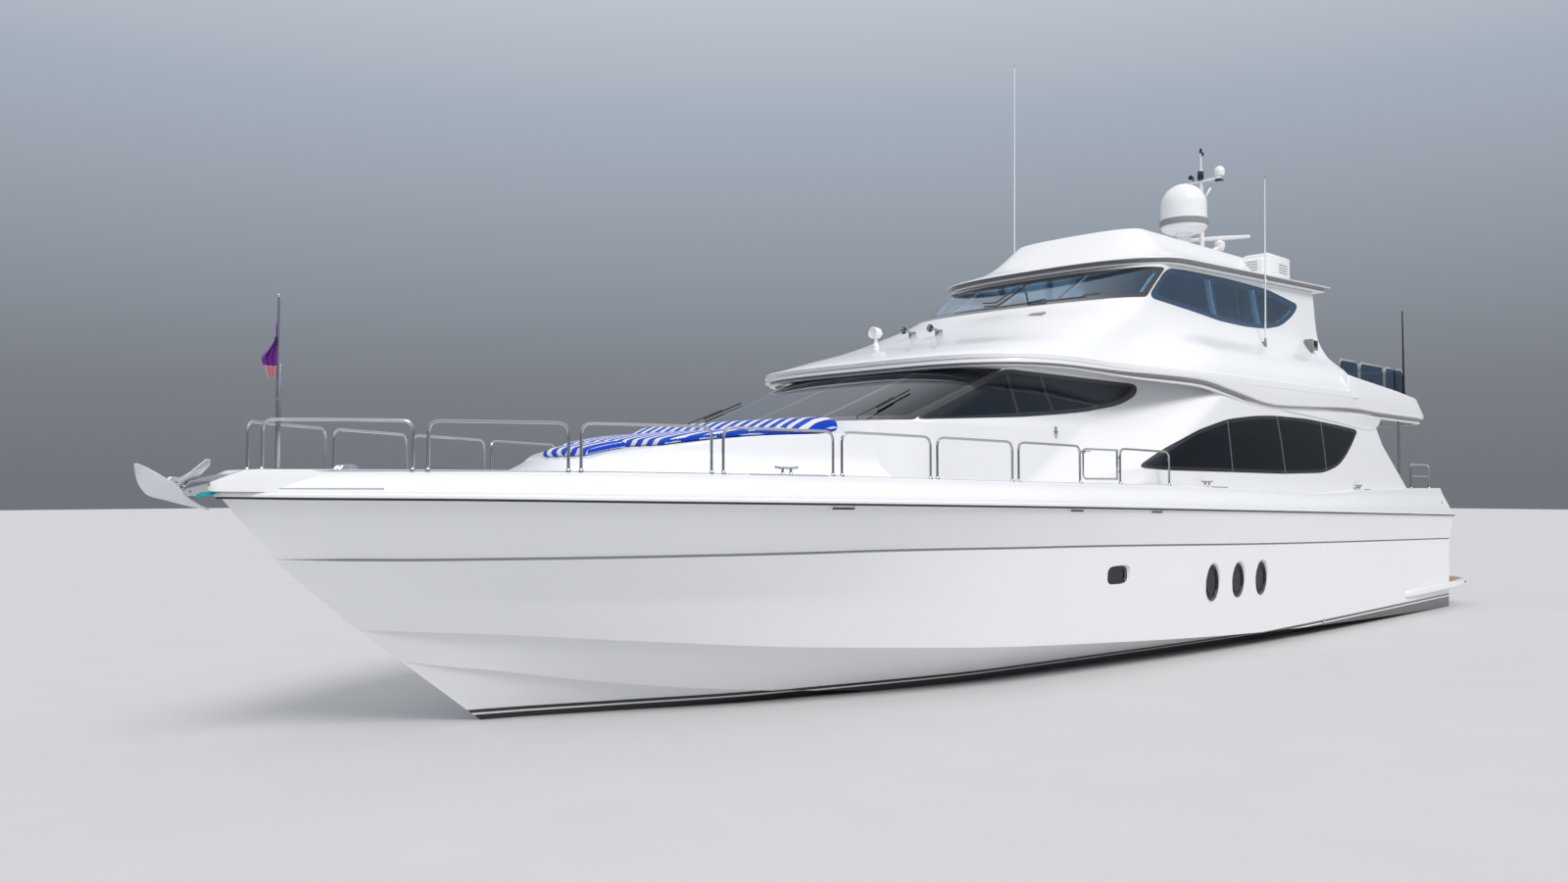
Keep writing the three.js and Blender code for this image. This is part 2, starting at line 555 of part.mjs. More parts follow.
const deckUnder = (lift) => slab([...stationX].reverse(), () => 0, (x) => hullCurve.deck.z(x) + lift);
function slanted(x, lean, width) {
  return prism([[x, 2000], [x + width, 2000], [x + width + lean, 7000], [x + lean, 7000]], -4000, 4000);
}
function buildMainHouse(boatDeck, deckCut) {
  const mullions = [
    slanted(2141, 1032, 60),
    slanted(1106, 1636, 60),
    slanted(-5833, 912, 50),
    slanted(-4216, 1208, 50),
    slanted(-2261, 695, 50),
    box(2600, 7000, -40, 40, 3000, 4400),
    box(2600, 7000, -1190, -1110, 3000, 4400),
    box(2600, 7000, 1110, 1190, 3000, 4400),
  ];
  const behind = prism(
    [[BULKHEAD.main - HOUSE_WALL, 1000], [BULKHEAD.main - HOUSE_WALL, 5000], [-14000, 5000], [-14000, 1000]],
    -2790,
    2790,
  );
  const across = { y0: -4000, y1: 4000 };
  const { shell, panes } = windowedHouse({
    levels: MAIN_HOUSE,
    wall: HOUSE_WALL,
    cavityBack: BULKHEAD.main,
    behind,
    mullions,
    windows: {
      main_windscreen: { outline: MAIN_WINDSCREEN, ...across },
      main_side_glass_port: { outline: MAIN_SIDE_WINDOW, y0: 1500, y1: 4000 },
      main_side_glass_starboard: { outline: MAIN_SIDE_WINDOW, y0: -4000, y1: -1500 },
      saloon_glass_port: { outline: SALOON_WINDOW, y0: 2000, y1: 4000 },
      saloon_glass_starboard: { outline: SALOON_WINDOW, y0: -4000, y1: -2000 },
    },
  });
  const track = box(BULKHEAD.main - HOUSE_WALL - 70, BULKHEAD.main - HOUSE_WALL + 10, -1000, 1600, 3960, 4010);
  const whole = shell
    .subtract(box(BULKHEAD.main - 300, BULKHEAD.main + 200, -480, 480, 2000, 3960))
    .add(track)
    .subtract(deckCut);
  add("main_house", largest(clearOf(whole, boatDeck, BELOW, ...ASIDE)), "gelcoat");
  for (const [name, pane] of Object.entries(panes)) add(name, pane, "glass");
}

function buildTrunk(houseCut, deckCut) {
  const under = slab(evenly(3000, 9700, 24), () => 1000, trunkTop);
  const trunk = largest(house(TRUNK).intersect(under).subtract(houseCut).subtract(deckCut));
  add("foredeck_trunk", trunk, "gelcoat");
  return trunk;
}

// Boat deck: a slab with a moulded lip, and the coaming round its open after part
function buildBoatDeck() {
  const low = curve(BAND_LOW, "z");
  const rim = house(BOAT_DECK);
  const inner = house(BOAT_DECK, LIP);
  const plate = rim.intersect(slab(evenly(-10600, 3700, 60), (x) => low(x) - 100, () => BRIDGE_SOLE));
  const soffit = inner.intersect(slab([-10600, 3700], () => 3000, () => SOFFIT));
  const coaming = rim
    .subtract(house(BOAT_DECK, 130))
    .intersect(slab(evenly(-10600, -7100 - GAP, 30), () => SOFFIT, curve(COAMING, "z")));
  const brow = slab(evenly(2000, 3700, 12), (x) => 4225 + 0.25 * Math.max(0, 3560 - x), () => 5000);
  return plate.subtract(soffit).subtract(brow).add(coaming);
}

// Upper house, standing on the boat deck
function buildUpperHouse(boatDeck, hardtopCut) {
  const mullions = [
    slanted(-3663, 705, 70),
    slanted(-5471, 964, 70),
    box(-2000, 1500, -35, 35, 5200, 6300),
    box(-2000, 1500, -1115, -1045, 5200, 6300),
    box(-2000, 1500, 1045, 1115, 5200, 6300),
  ];
  const behind = box(-8000, BULKHEAD.upper - HOUSE_WALL, -2040, 2040, 3000, 7000);
  const { shell, panes } = windowedHouse({
    levels: UPPER_HOUSE,
    wall: HOUSE_WALL,
    cavityBack: BULKHEAD.upper,
    behind,
    mullions,
    windows: {
      bridge_windscreen: { outline: UPPER_WINDSCREEN, y0: -4000, y1: 4000 },
      bridge_side_glass_port: { outline: UPPER_SIDE_WINDOW, y0: 1500, y1: 4000 },
      bridge_side_glass_starboard: { outline: UPPER_SIDE_WINDOW, y0: -4000, y1: -1500 },
    },
  });
  const track = box(BULKHEAD.upper - HOUSE_WALL - 70, BULKHEAD.upper - HOUSE_WALL + 10, -900, 1500, 6080, 6130);
  const whole = shell
    .subtract(box(BULKHEAD.upper - 300, BULKHEAD.upper + 200, -430, 430, 3500, 6080))
    .add(track)
    .subtract(hardtopCut);
  add("upper_house", largest(clearOf(whole, boatDeck, ABOVE)), "gelcoat");
  for (const [name, pane] of Object.entries(panes)) add(name, pane, "glass");
}

// Doors
function buildDoors() {
  const clear = 6;
  const mainFace = BULKHEAD.main - HOUSE_WALL - clear;
  const mainSole = hullCurve.deck.z(BULKHEAD.main);
  const upperFace = BULKHEAD.upper - HOUSE_WALL - clear;
  add("saloon_door", box(mainFace - 40, mainFace, -520, 520, mainSole + 8, 3960 - GAP), "glass");
  add("bridge_door", box(upperFace - 40, upperFace, -470, 470, BRIDGE_SOLE + 8, 6080 - GAP), "glass");
  const post = 30;
  const { y0, y1, x, thickness } = TRANSOM_GATE;
  const sole = hullCurve.deck.z(x) + 8;
  const hinge = at(x - thickness / 2, y0 + post + GAP, sole);
  const stile = bar(hinge, at(hinge.x, hinge.y, 2480), post, 16);
  const leaf = box(x - thickness + 5, x - 5, hinge.y, y1 - 8, sole, 2480);
  add("transom_gate", stile.add(leaf), "gelcoat");
}

// Rails and gates
const railY = (x) => hullCurve.deck.y(x) - RAIL_INSET;
function hoop(from, to) {
  const bend = 90;
  const top = (x) => capZ(x) + RAIL_HEIGHT;
  const foot = (x) => at(x, railY(x), capZ(x) + RAIL_STRIP.height - 2);
  const head = (x, drop) => at(x, railY(x), top(x) - drop);
  const middle = [0.33, 0.67].map((t) => head(THREE.MathUtils.lerp(from - bend, to + bend, t), 0));
  return pipe(
    [
      foot(from), head(from, bend), head(from - bend * 0.3, bend * 0.3), head(from - bend, 0), ...middle,
      head(to + bend, 0), head(to + bend * 0.3, bend * 0.3), head(to, bend), foot(to),
    ],
    RAIL_RADIUS,
    6,
  );
}
function railStrip(from, to) {
  const count = 18;
  const rings = [];
  for (let i = 0; i <= count; i++) {
    const x = THREE.MathUtils.lerp(from, to, i / count);
    const y = railY(x);
    const z = capZ(x);
    const w = RAIL_STRIP.width / 2;
    rings.push([
      at(x, y - w, z + 1), at(x, y + w, z + 1), at(x, y + w, z + RAIL_STRIP.height), at(x, y - w, z + RAIL_STRIP.height),
    ]);
  }
  return solid(loft(rings));
}
function buildRails(bulwark) {
  const { hinge, latch, low, high } = SIDE_GATE;
  const gateZ = capZ(hinge);
  const legY = railY(hinge);
  const lug = (z) => box(1495, hinge - RAIL_RADIUS - GAP, legY - 9, legY + 9, z, z + 24);
  const port = joined([
    railStrip(11700, 170),
    ...RAILS.map(({ from, to }) => hoop(from, to)),
    lug(gateZ + 150),
    lug(gateZ + 340),
  ]);
  const frame = (x, z) => at(x, railY(x), z);
  const bend = 60;
  const bottom = gateZ + low;
  const top = gateZ + high;
  const gate = joined([
    bar(frame(hinge, bottom - RAIL_RADIUS), frame(hinge, top + RAIL_RADIUS), RAIL_RADIUS, 12),
    pipe(
      [
        frame(hinge, top), frame(latch - bend, top), frame(latch, top - bend), frame(latch, bottom + bend),
        frame(latch - bend, bottom), frame(hinge, bottom),
      ],
      RAIL_RADIUS - 3,
    ),
  ]);
  for (const { side, sign } of SIDES) {
    add("side_rail_" + side, largest(clearOf(mirrored(port, sign), bulwark, ABOVE)), "stainless");
    add("side_gate_" + side, mirrored(gate, sign), "stainless");
  }
}

// Bow fittings
const CHEEK = [
  [ROLLER.from, ROLLER.floor], [11950, ROLLER.floor], [12230, 2430], [12330, 2430], [12350, 2480],
  [12270, 2570], [11950, 2640], [ROLLER.from, 2640],
];
// The anchor's scoop from point to heel: keel, edge and thickness in side view, and half breadth
const FLUKE = [
  { keelX: 12078, keelZ: 2297, edgeX: 12084, edgeZ: 2303, half: 12, thick: 8 },
  { keelX: 12300, keelZ: 2352, edgeX: 12320, edgeZ: 2425, half: 160, thick: 16 },
  { keelX: 12440, keelZ: 2392, edgeX: 12430, edgeZ: 2530, half: 235, thick: 16 },
  { keelX: 12602, keelZ: 2444, edgeX: 12560, edgeZ: 2610, half: 250, thick: 16 },
  { keelX: 12700, keelZ: 2600, edgeX: 12712, edgeZ: 2720, half: 190, thick: 12 },
];
const SHANK = [
  [12480, 2410], [12400, 2395], [12360, 2470], [12325, 2530], [12270, 2513 + GAP], [12215, 2560], [12075, 2720],
  [12075, 2775], [12110, 2775], [12250, 2650], [12330, 2600], [12420, 2610], [12480, 2540],
];
function buildBow(bulwark, deckCut) {
  const { from, halfWidth, floor, plate, x, z, radius } = ROLLER;
  const channel = joined([
    box(from, 12000, -halfWidth, halfWidth, floor, floor + plate),
    prism(CHEEK, -halfWidth, -halfWidth + plate),
    prism(CHEEK, halfWidth - plate, halfWidth),
    bar(at(x, -halfWidth + 5, z), at(x, halfWidth - 5, z), radius, 16),
    box(from, from + 350, -halfWidth + 20, halfWidth - 20, 2400, floor + 1),
  ]).subtract(deckCut);
  add("bow_roller", clearOf(channel, bulwark, ABOVE), "stainless");

  const scoop = solid(
    loft(
      FLUKE.map(({ keelX, keelZ, edgeX, edgeZ, half, thick }) => [
        at(keelX, 0, keelZ), at(edgeX, half, edgeZ), at(edgeX - thick, half - thick / 2, edgeZ + thick),
        at(keelX - thick, 0, keelZ + 2 * thick), at(edgeX - thick, thick / 2 - half, edgeZ + thick), at(edgeX, -half, edgeZ),
      ]),
    ),
  );
  add("anchor", largest(clearOf(scoop.add(prism(SHANK, -16, 16)), channel, ABOVE)), "stainless");

  const deckZ = hullCurve.deck.z(10800) + GAP + 1;
  const windlass = joined([
    box(10600, 10950, -170, 170, deckZ, deckZ + 90),
    bar(at(10780, -120, deckZ + 190), at(10780, 120, deckZ + 190), 120, 16),
    bar(at(10780, -260, deckZ + 190), at(10780, 260, deckZ + 190), 60, 12),
    box(10720, 10840, -60, 60, deckZ + 80, deckZ + 190),
  ]);
  add("windlass", windlass, "stainless");

  const staff = { x: 11460, halfGap: 32, top: 4400 };
  const foot = floor + plate + GAP;
  add(
    "bow_staff",
    joined([
      bar(at(staff.x, -staff.halfGap, foot), at(staff.x, -staff.halfGap, staff.top), 14, 8),
      bar(at(staff.x, staff.halfGap, foot), at(staff.x, staff.halfGap, staff.top - 700), 14, 8),
      box(staff.x - 60, staff.x + 60, -60, 60, foot, foot + 12),
      ...[800, 1130].map((h) => box(staff.x - 8, staff.x + 8, -staff.halfGap, staff.halfGap, foot + h, foot + h + 30)),
    ]),
    "stainless",
  );
  const hoist = staff.x + 14 + GAP;
  add("pennant", box(hoist, hoist + 240, -staff.halfGap - 5, -staff.halfGap + 5, 3560, 3980), "pennant");
}

// Sun pads on the trunk, each through slices from its front to its back
const SUN_PADS = {
  sun_pad_forward: [
    { x: 8240, half: 480, thick: 60 },
    { x: 8180, half: 490, thick: 85 },
    { x: 7680, half: 500, thick: 85 },
  ],
  sun_pad_aft: [
    { x: 7630, half: 1060, thick: 50 },
    { x: 7580, half: 1100, thick: 75 },
    { x: 7140, half: 1350, thick: 85 },
    { x: 6670, half: 1550, thick: 90 },
    { x: 6150, half: 1700, thick: 95 },
    { x: 5850, half: 1790, thick: 200 },
    { x: 5600, half: 1850, thick: 200 },
    { x: 5560, half: 1850, thick: 150 },
  ],
};
function buildSunPads(trunk) {
  for (const [name, slices] of Object.entries(SUN_PADS)) {
    const rings = slices.map(({ x, half, thick }) => {
      const z = trunkTop(x);
      return [at(x, -half, z - 20), at(x, half, z - 20), at(x, half - 25, z + thick), at(x, 25 - half, z + thick)];
    });
    add(name, largest(clearOf(solid(loft(rings)), trunk, ABOVE)), "cloth");
  }
}

// Mast, radar, domes and whips on the hardtop
const ROOF = 6920;
const RADAR_HEADING = 28; // degrees, as the scanner stopped
const seatedOnTop = (parts) => largest(clearOf(joined(parts), hardtopSolid, ABOVE));
function buildRoofGear() {
  const domeX = -6220;
  const domeZ = 7580;
  const pole = bar(at(domeX, 0, ROOF - 200), at(domeX, 0, domeZ), 130, 14);
  const foot = bar(at(domeX, 0, ROOF - 200), at(domeX, 0, ROOF + 40), 240, 14);
  add("dome_pedestal", seatedOnTop([pole, foot]), "gelcoat");
  const profile = [[0, 0], [170, 0], [390, 160], [440, 270], [440, 600], [410, 790], [310, 920], [160, 990], [0, 1010]];
  const cover = new THREE.LatheGeometry(profile.map(([r, z]) => new THREE.Vector2(r, z)), 20);
  add("satellite_dome", solid(cover.rotateX(Math.PI / 2).translate(domeX, 0, domeZ + GAP)), "gelcoat");

  const mastX = -6950;
  const radarX = -7700;
  const radarZ = 7640;
  add(
    "mast",
    seatedOnTop([
      bar(at(mastX, 0, ROOF - 700), at(mastX, 0, 9150), 55, 10, 34),
      bar(at(mastX, 0, 9100), at(mastX, 0, 9460), 12, 6),
      bar(at(mastX, -420, 8780), at(mastX, 420, 8780), 26, 8),
      bar(at(mastX, 0, 8300), at(mastX - 380, 0, 8700), 22, 6),
      bar(at(mastX, 0, 7250), at(radarX, 0, radarZ - 110), 40, 8),
      bar(at(radarX, 0, radarZ - 180), at(radarX, 0, radarZ), 110, 14),
      box(mastX - 60, mastX + 60, 330, 420, 8700, 8812),
    ]),
    "gelcoat",
  );
  const dome = new THREE.SphereGeometry(110, 14, 10).rotateX(Math.PI / 2);
  add("small_dome", solid(dome.translate(mastX - 40, 375, 8812 + 110 + GAP)), "gelcoat");
  const spindle = bar(at(0, 0, radarZ + GAP), at(0, 0, radarZ + 40), 60, 12);
  const scanner = box(-55, 55, -600, 600, radarZ + 30, radarZ + 120).rotate([0, 0, RADAR_HEADING]);
  add("radar_scanner", spindle.add(scanner).translate([radarX, 0, 0]), "gelcoat");

  add("roof_locker", seatedOnTop([box(-6960, -5850, 1290, 1800, 6200, 6930)]), "gelcoat");

  const whips = [
    { name: "whip_port", x: -4480, y: 2420, low: 5000, high: 7950, sign: 1 },
    { name: "whip_starboard", x: -3850, y: 2420, low: 5000, high: 11050, sign: -1 },
  ];
  for (const { name, x, y, low, high, sign } of whips) {
    const whip = joined([
      bar(at(x, y, low), at(x - 80, y, high), 16, 6, 7),
      bar(at(x, y, low - 30), at(x, y, low + 120), 26, 8),
      box(x - 30, x + 30, y - 320, y, low + 10, low + 60),
    ]);
    add(name, mirrored(largest(clearOf(whip, upperEnvelope, ...ASIDE)), sign), "gelcoat");
  }
}

// Boat deck rail with smoked panels, poles under the overhang and stern rails
function buildAftRails(boatDeck, bulwark, deckCut) {
  const y = 2600;
  const top = 4950;
  const aft = -10450;
  const legs = [-7300, -8050, -9350, aft];
  const frame = pipe([at(-7180, y, top), at(aft + 80, y, top), at(aft, y - 80, top), at(aft, -y + 80, top),
    at(aft + 80, -y, top), at(-7180, -y, top)], 20, 8);
  const posts = [];
  for (const x of legs) {
    for (const side of [1, -1]) {
      const place = x === aft ? at(aft, side * (y - 80), 0) : at(x, side * y, 0);
      posts.push(bar(at(place.x, place.y, BRIDGE_SOLE - 50), at(place.x, place.y, top), 18, 8));
    }
  }
  for (const across of [-1300, 0, 1300]) posts.push(bar(at(aft, across, BRIDGE_SOLE - 50), at(aft, across, top), 18, 8));
  add("boat_deck_rail", largest(clearOf(joined([frame, ...posts]), boatDeck, ABOVE)), "stainless");
  const staff = bar(at(-10130, 0, BRIDGE_SOLE), at(-10130, 0, 6150), 22, 8, 12).translate([0, 2700, 0]);
  add("ensign_staff", largest(clearOf(staff, boatDeck, ABOVE)), "stainless");
  for (const { side, sign } of SIDES) {
    const outline = [[-7200, 4400], [aft + 100, 4400], [aft + 100, top - 24], [-7200, top - 24]];
    const panel = prism(outline, y + 18 + GAP, y + 28);
    add("rail_panel_" + side, mirrored(panel, sign), "smoked");
    const pole = mirrored(bar(at(-9790, 2700, 1900), at(-9790, 2700, SOFFIT), 24, 10), sign);
    const under = clearOf(pole.subtract(deckCut), boatDeck, BELOW);
    add("overhang_pole_" + side, largest(under), "stainless");
    const capTop = capZ(-10500);
    const stern = pipe(
      [at(-9950, 2860, capTop), at(-9950, 2860, capTop + 400), at(-10040, 2860, capTop + 490),
        at(-10960, 2830, capTop + 490), at(-11050, 2830, capTop + 400), at(-11050, 2830, capTop)],
      RAIL_RADIUS,
    );
    add("stern_rail_" + side, largest(clearOf(mirrored(stern, sign), bulwark, ABOVE)), "stainless");
  }
}

// Furniture that shows through the glass and in the cockpit
function buildFurniture(deckCut) {
  const low = 2000;
  const bridge = BRIDGE_SOLE + GAP;
  add(
    "helm_console",
    joined([
      box(-1300, -500, -1700, 300, bridge, 5150),
      prism([[-1300, 5100], [-500, 5100], [-450, 5250], [-900, 5420], [-1300, 5250]], -1600, 200),
    ]),
    "leather",
  );
  add(
    "helm_chair",
    joined([
      bar(at(-2200, -700, bridge), at(-2200, -700, 4900), 60, 10),
      box(-2480, -1950, -980, -420, 4880, 5010),
      box(-2600, -2480, -980, -420, 4880, 5620),
    ]),
    "leather",
  );
  add(
    "bridge_sofa",
    joined([
      box(-5600, -3200, 1150, 1900, bridge, 4740),
      box(-5600, -3200, 1750, 1950, bridge, 5240),
      box(-5800, -5600, 300, 1950, bridge, 5240),
      box(-5600, -5050, 300, 1150, bridge, 4740),
    ]),
    "leather",
  );
  const sofa = joined([
    box(-6600, -3000, -2600, -1850, low, 2600),
    box(-6600, -3000, -2700, -2500, low, 3050),
  ]);
  add("saloon_sofa", sofa.subtract(deckCut), "leather");
  const counter = joined([
    box(1200, 3600, 900, 1500, low, 3050),
    box(3000, 3600, -900, 950, low, 3050),
  ]);
  add("galley_counter", counter.subtract(deckCut), "wood");
  const bench = joined([
    box(-10940, -10300, -1350, 2100, low - 300, 2380),
    box(-10940, -10780, -1350, 2100, low - 300, 2470),
  ]);
  add("cockpit_bench", bench.subtract(deckCut), "leather");
}

// Shafts, propellers and rudders
function buildRunningGear(hull) {
  const { y, fromX, toX, toZ, radius, slope } = SHAFT;
  const axisZ = (x) => toZ - slope * (toX - x);
  const strut = loft([
    [at(toX + 420, y - 25, -300), at(toX + 560, y, -300), at(toX + 700, y - 25, -300), at(toX + 560, y - 50, -300)],
    [at(toX + 220, y - 15, toZ + 10), at(toX + 330, y + 12, toZ + 10), at(toX + 440, y - 15, toZ + 10),
      at(toX + 330, y - 40, toZ + 10)],
  ]);
  const shaft = joined([
    bar(at(fromX, y, axisZ(fromX)), at(toX, y, toZ), radius, 12),
    bar(at(toX + 500, y, axisZ(toX + 500)), at(toX + 60, y, axisZ(toX + 60)), 95, 14),
    solid(strut),
    bar(at(fromX, y, axisZ(fromX)), at(fromX - 900, y, axisZ(fromX - 900)), 110, 12, 80),
  ]);

  const hub = new THREE.CylinderGeometry(70, PROPELLER.hub, PROPELLER.length, 16).rotateZ(Math.PI / 2);
  const edge = 4; // half thickness of the blades' edges
  const blades = Array.from({ length: PROPELLER.blades }, (_, k) => {
    const section = (r, half, pitch, thick) => {
      const c = Math.cos(pitch);
      const s = Math.sin(pitch);
      const outline = [[-half, edge], [0, thick], [half, edge], [half, -edge], [0, -thick], [-half, -edge]];
      return outline.map(([a, t]) => at(a * s + t * c, a * c - t * s, r));
    };
    const blade = loft([
      section(40, 90, 1.05, 26), section(200, 150, 0.8, 21), section(360, 175, 0.6, 16), section(480, 120, 0.5, 12),
      section(PROPELLER.radius, 40, 0.48, 8),
    ]);
    return solid(blade.rotateX((2 * Math.PI * k) / PROPELLER.blades));
  });
  const tilt = Math.atan(slope);
  const back = PROPELLER.length / 2 + GAP;
  const place = new THREE.Matrix4().makeRotationY(-tilt).setPosition(toX - back * Math.cos(tilt), y, toZ - back * Math.sin(tilt));
  const propeller = joined([solid(hub), ...blades]).transform(place.elements);

  const { x, top, depth, chord, thickness } = RUDDER;
  const foil = (z, length) => [
    at(x + 0.32 * length, y, z), at(x + 0.1 * length, y + thickness / 2, z), at(x - 0.25 * length, y + thickness / 3, z),
    at(x - 0.68 * length, y + 4, z), at(x - 0.68 * length, y - 4, z), at(x - 0.25 * length, y - thickness / 3, z),
    at(x + 0.1 * length, y - thickness / 2, z),
  ];
  const blade = solid(loft([foil(top - 90, chord), foil(top - depth, chord * 0.8)]));
  const stock = (head) => bar(at(x, y, top - 100), at(x, y, head), 40, 14);
  for (const { side, sign } of SIDES) {
    const bottom = mirrored(stock(0), sign).intersect(hull).boundingBox().min[2];
    const rudder = blade.add(stock(bottom - GAP));
    add("propeller_shaft_" + side, largest(clearOf(mirrored(shaft, sign), hull, BELOW)), "stainless");
    add("propeller_" + side, mirrored(propeller, sign), "bronze");
    add("rudder_" + side, mirrored(rudder, sign), "stainless");
  }
}

// Assembly
const hull = buildHull();
const deckCut = deckUnder(GAP);
const mainEnvelope = house(MAIN_HOUSE, -GAP * 3);
const upperEnvelope = house(UPPER_HOUSE);
const hardtopSolid = house(HARDTOP);
const boatDeck = buildBoatDeck();
const bulwark = buildBulwark(mainEnvelope, deckCut);
buildRubRail();
buildSwimPlatform(hull);
const trunk = buildTrunk(mainEnvelope, deckCut);
buildMainHouse(boatDeck, deckCut);
add("boat_deck", boatDeck, "gelcoat");
buildUpperHouse(boatDeck, hardtopSolid.translate([0, 0, -GAP]));
add("hardtop", hardtopSolid, "gelcoat");
buildDoors();
buildRails(bulwark);
buildBow(bulwark, deckCut);
buildSunPads(trunk);
buildRoofGear();
buildAftRails(boatDeck, bulwark, deckCut);
buildFurniture(deckCut);
buildRunningGear(hull);

export default yacht;
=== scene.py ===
"""Enclosed-bridge motor yacht, afloat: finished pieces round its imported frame.

Metres. +X is the bow, +Y is port, +Z is up, and the waterline is at z = 0.
"""

import json
import logging
import math
from dataclasses import dataclass, field, replace
from enum import Enum
from functools import cache
from typing import Callable, Iterable, Sequence

import bmesh
import bpy
from mathutils import Matrix, Vector

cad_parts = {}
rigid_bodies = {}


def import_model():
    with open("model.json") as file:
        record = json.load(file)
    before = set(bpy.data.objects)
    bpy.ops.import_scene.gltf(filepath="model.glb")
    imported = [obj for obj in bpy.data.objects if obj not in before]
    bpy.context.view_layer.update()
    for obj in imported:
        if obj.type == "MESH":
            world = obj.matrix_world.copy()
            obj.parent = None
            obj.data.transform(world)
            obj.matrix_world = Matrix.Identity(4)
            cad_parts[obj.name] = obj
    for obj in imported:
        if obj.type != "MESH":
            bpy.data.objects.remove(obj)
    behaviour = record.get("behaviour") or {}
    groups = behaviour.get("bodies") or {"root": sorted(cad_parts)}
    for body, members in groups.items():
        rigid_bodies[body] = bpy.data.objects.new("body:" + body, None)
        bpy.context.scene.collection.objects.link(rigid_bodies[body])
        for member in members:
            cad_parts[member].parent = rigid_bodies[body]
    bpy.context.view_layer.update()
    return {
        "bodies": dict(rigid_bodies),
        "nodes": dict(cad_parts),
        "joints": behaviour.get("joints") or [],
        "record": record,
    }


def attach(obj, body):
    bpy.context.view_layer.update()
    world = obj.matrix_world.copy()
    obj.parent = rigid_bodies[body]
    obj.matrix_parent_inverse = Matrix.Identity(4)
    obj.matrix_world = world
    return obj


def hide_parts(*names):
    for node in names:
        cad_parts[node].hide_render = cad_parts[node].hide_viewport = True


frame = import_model()
LOG = logging.getLogger("yacht")

Outline = Sequence[tuple[float, float]]
Place = Callable[[float, float], Vector]
Paint = Callable[[float], int]
Point = Sequence[float]
Colour = tuple[float, float, float]
ROOT = "yacht"


# Numbers and curves


def mix(a: float, b: float, t: float) -> float:
    """Return the value t of the way from a to b."""
    return a + (b - a) * t


def ease(t: float) -> float:
    """Return t held between 0 and 1, with a soft start and end."""
    t = min(max(t, 0.0), 1.0)
    return t * t * (3.0 - 2.0 * t)


def curve(rows: Iterable[tuple[float, float]]) -> Callable[[float], float]:
    """Make a cubic through rows that never overshoots them.

    Args:
        rows: pairs of position and value, in any order.

    Returns:
        A function from position to value, flat outside the rows.
    """
    xs, ys = zip(*sorted(rows))
    count = len(xs)
    slopes = [(ys[i + 1] - ys[i]) / (xs[i + 1] - xs[i]) for i in range(count - 1)]
    tangents = [slopes[0]]
    for i in range(1, count - 1):
        if slopes[i - 1] * slopes[i] <= 0:
            tangents.append(0.0)
            continue
        a, b = xs[i] - xs[i - 1], xs[i + 1] - xs[i]
        tangents.append(3 * (a + b) / ((2 * b + a) / slopes[i - 1] + (b + 2 * a) / slopes[i]))
    tangents.append(slopes[-1])

    def value(x: float) -> float:
        """Return the curve's value at x."""
        i = 0
        while i < count - 2 and x > xs[i + 1]:
            i += 1
        h = xs[i + 1] - xs[i]
        t = min(max((x - xs[i]) / h, 0.0), 1.0)
        s = 1.0 - t
        ends = (1 + 2 * t) * s * s * ys[i] + t * t * (3 - 2 * t) * ys[i + 1]
        return ends + t * s * h * (s * tangents[i] - t * tangents[i + 1])

    return value


def rounded(outline: Outline, radius: float, steps: int = 6) -> list[tuple[float, float]]:
    """Round every corner of a closed outline.

    Args:
        outline: corners in order.
        radius: furthest that a corner's arc reaches along its sides.
        steps: points in each arc, less one.

    Returns:
        The outline with an arc of points at each corner.
    """
    result = []
    count = len(outline)
    for i, corner in enumerate(outline):
        here = Vector(corner)
        before = Vector(outline[i - 1]) - here
        after = Vector(outline[(i + 1) % count]) - here
        start = here + before.normalized() * min(radius, 0.48 * before.length)
        end = here + after.normalized() * min(radius, 0.48 * after.length)
        for k in range(steps + 1):
            t = k / steps
            point = start * (1 - t) ** 2 + here * (2 * t * (1 - t)) + end * t**2
            result.append((point.x, point.y))
    return result


def offset(outline: Outline, distance: float) -> list[tuple[float, float]]:
    """Move a closed outline outwards by a distance, or inwards if it is negative."""
    count = len(outline)
    area = sum(
        outline[i - 1][0] * outline[i][1] - outline[i][0] * outline[i - 1][1] for i in range(count)
    )
    side = distance if area > 0 else -distance
    moved = []
    for i in range(count):
        here = Vector(outline[i])
        before = here - Vector(outline[i - 1])
        after = Vector(outline[(i + 1) % count]) - here
        a = Vector((before.y, -before.x)).normalized()
        b = Vector((after.y, -after.x)).normalized()
        across = a + b
        point = here + across * (2 * side / max(across.length_squared, 0.5))
        moved.append((point.x, point.y))
    return moved


def bent(points: Sequence[Vector], radius: float, steps: int = 5) -> list[Vector]:
    """Round the inner corners of an open path in space."""
    result = [points[0].copy()]
    for before, here, after in zip(points, points[1:], points[2:]):
        start = here + (before - here).normalized() * min(radius, 0.48 * (before - here).length)
        end = here + (after - here).normalized() * min(radius, 0.48 * (after - here).length)
        for k in range(steps + 1):
            t = k / steps
            result.append(start * (1 - t) ** 2 + here * (2 * t * (1 - t)) + end * t**2)
    result.append(points[-1].copy())
    return result


# Shapes


class Cut(Enum):
    """How one form changes another."""

    TAKE = "DIFFERENCE"
    KEEP = "INTERSECT"


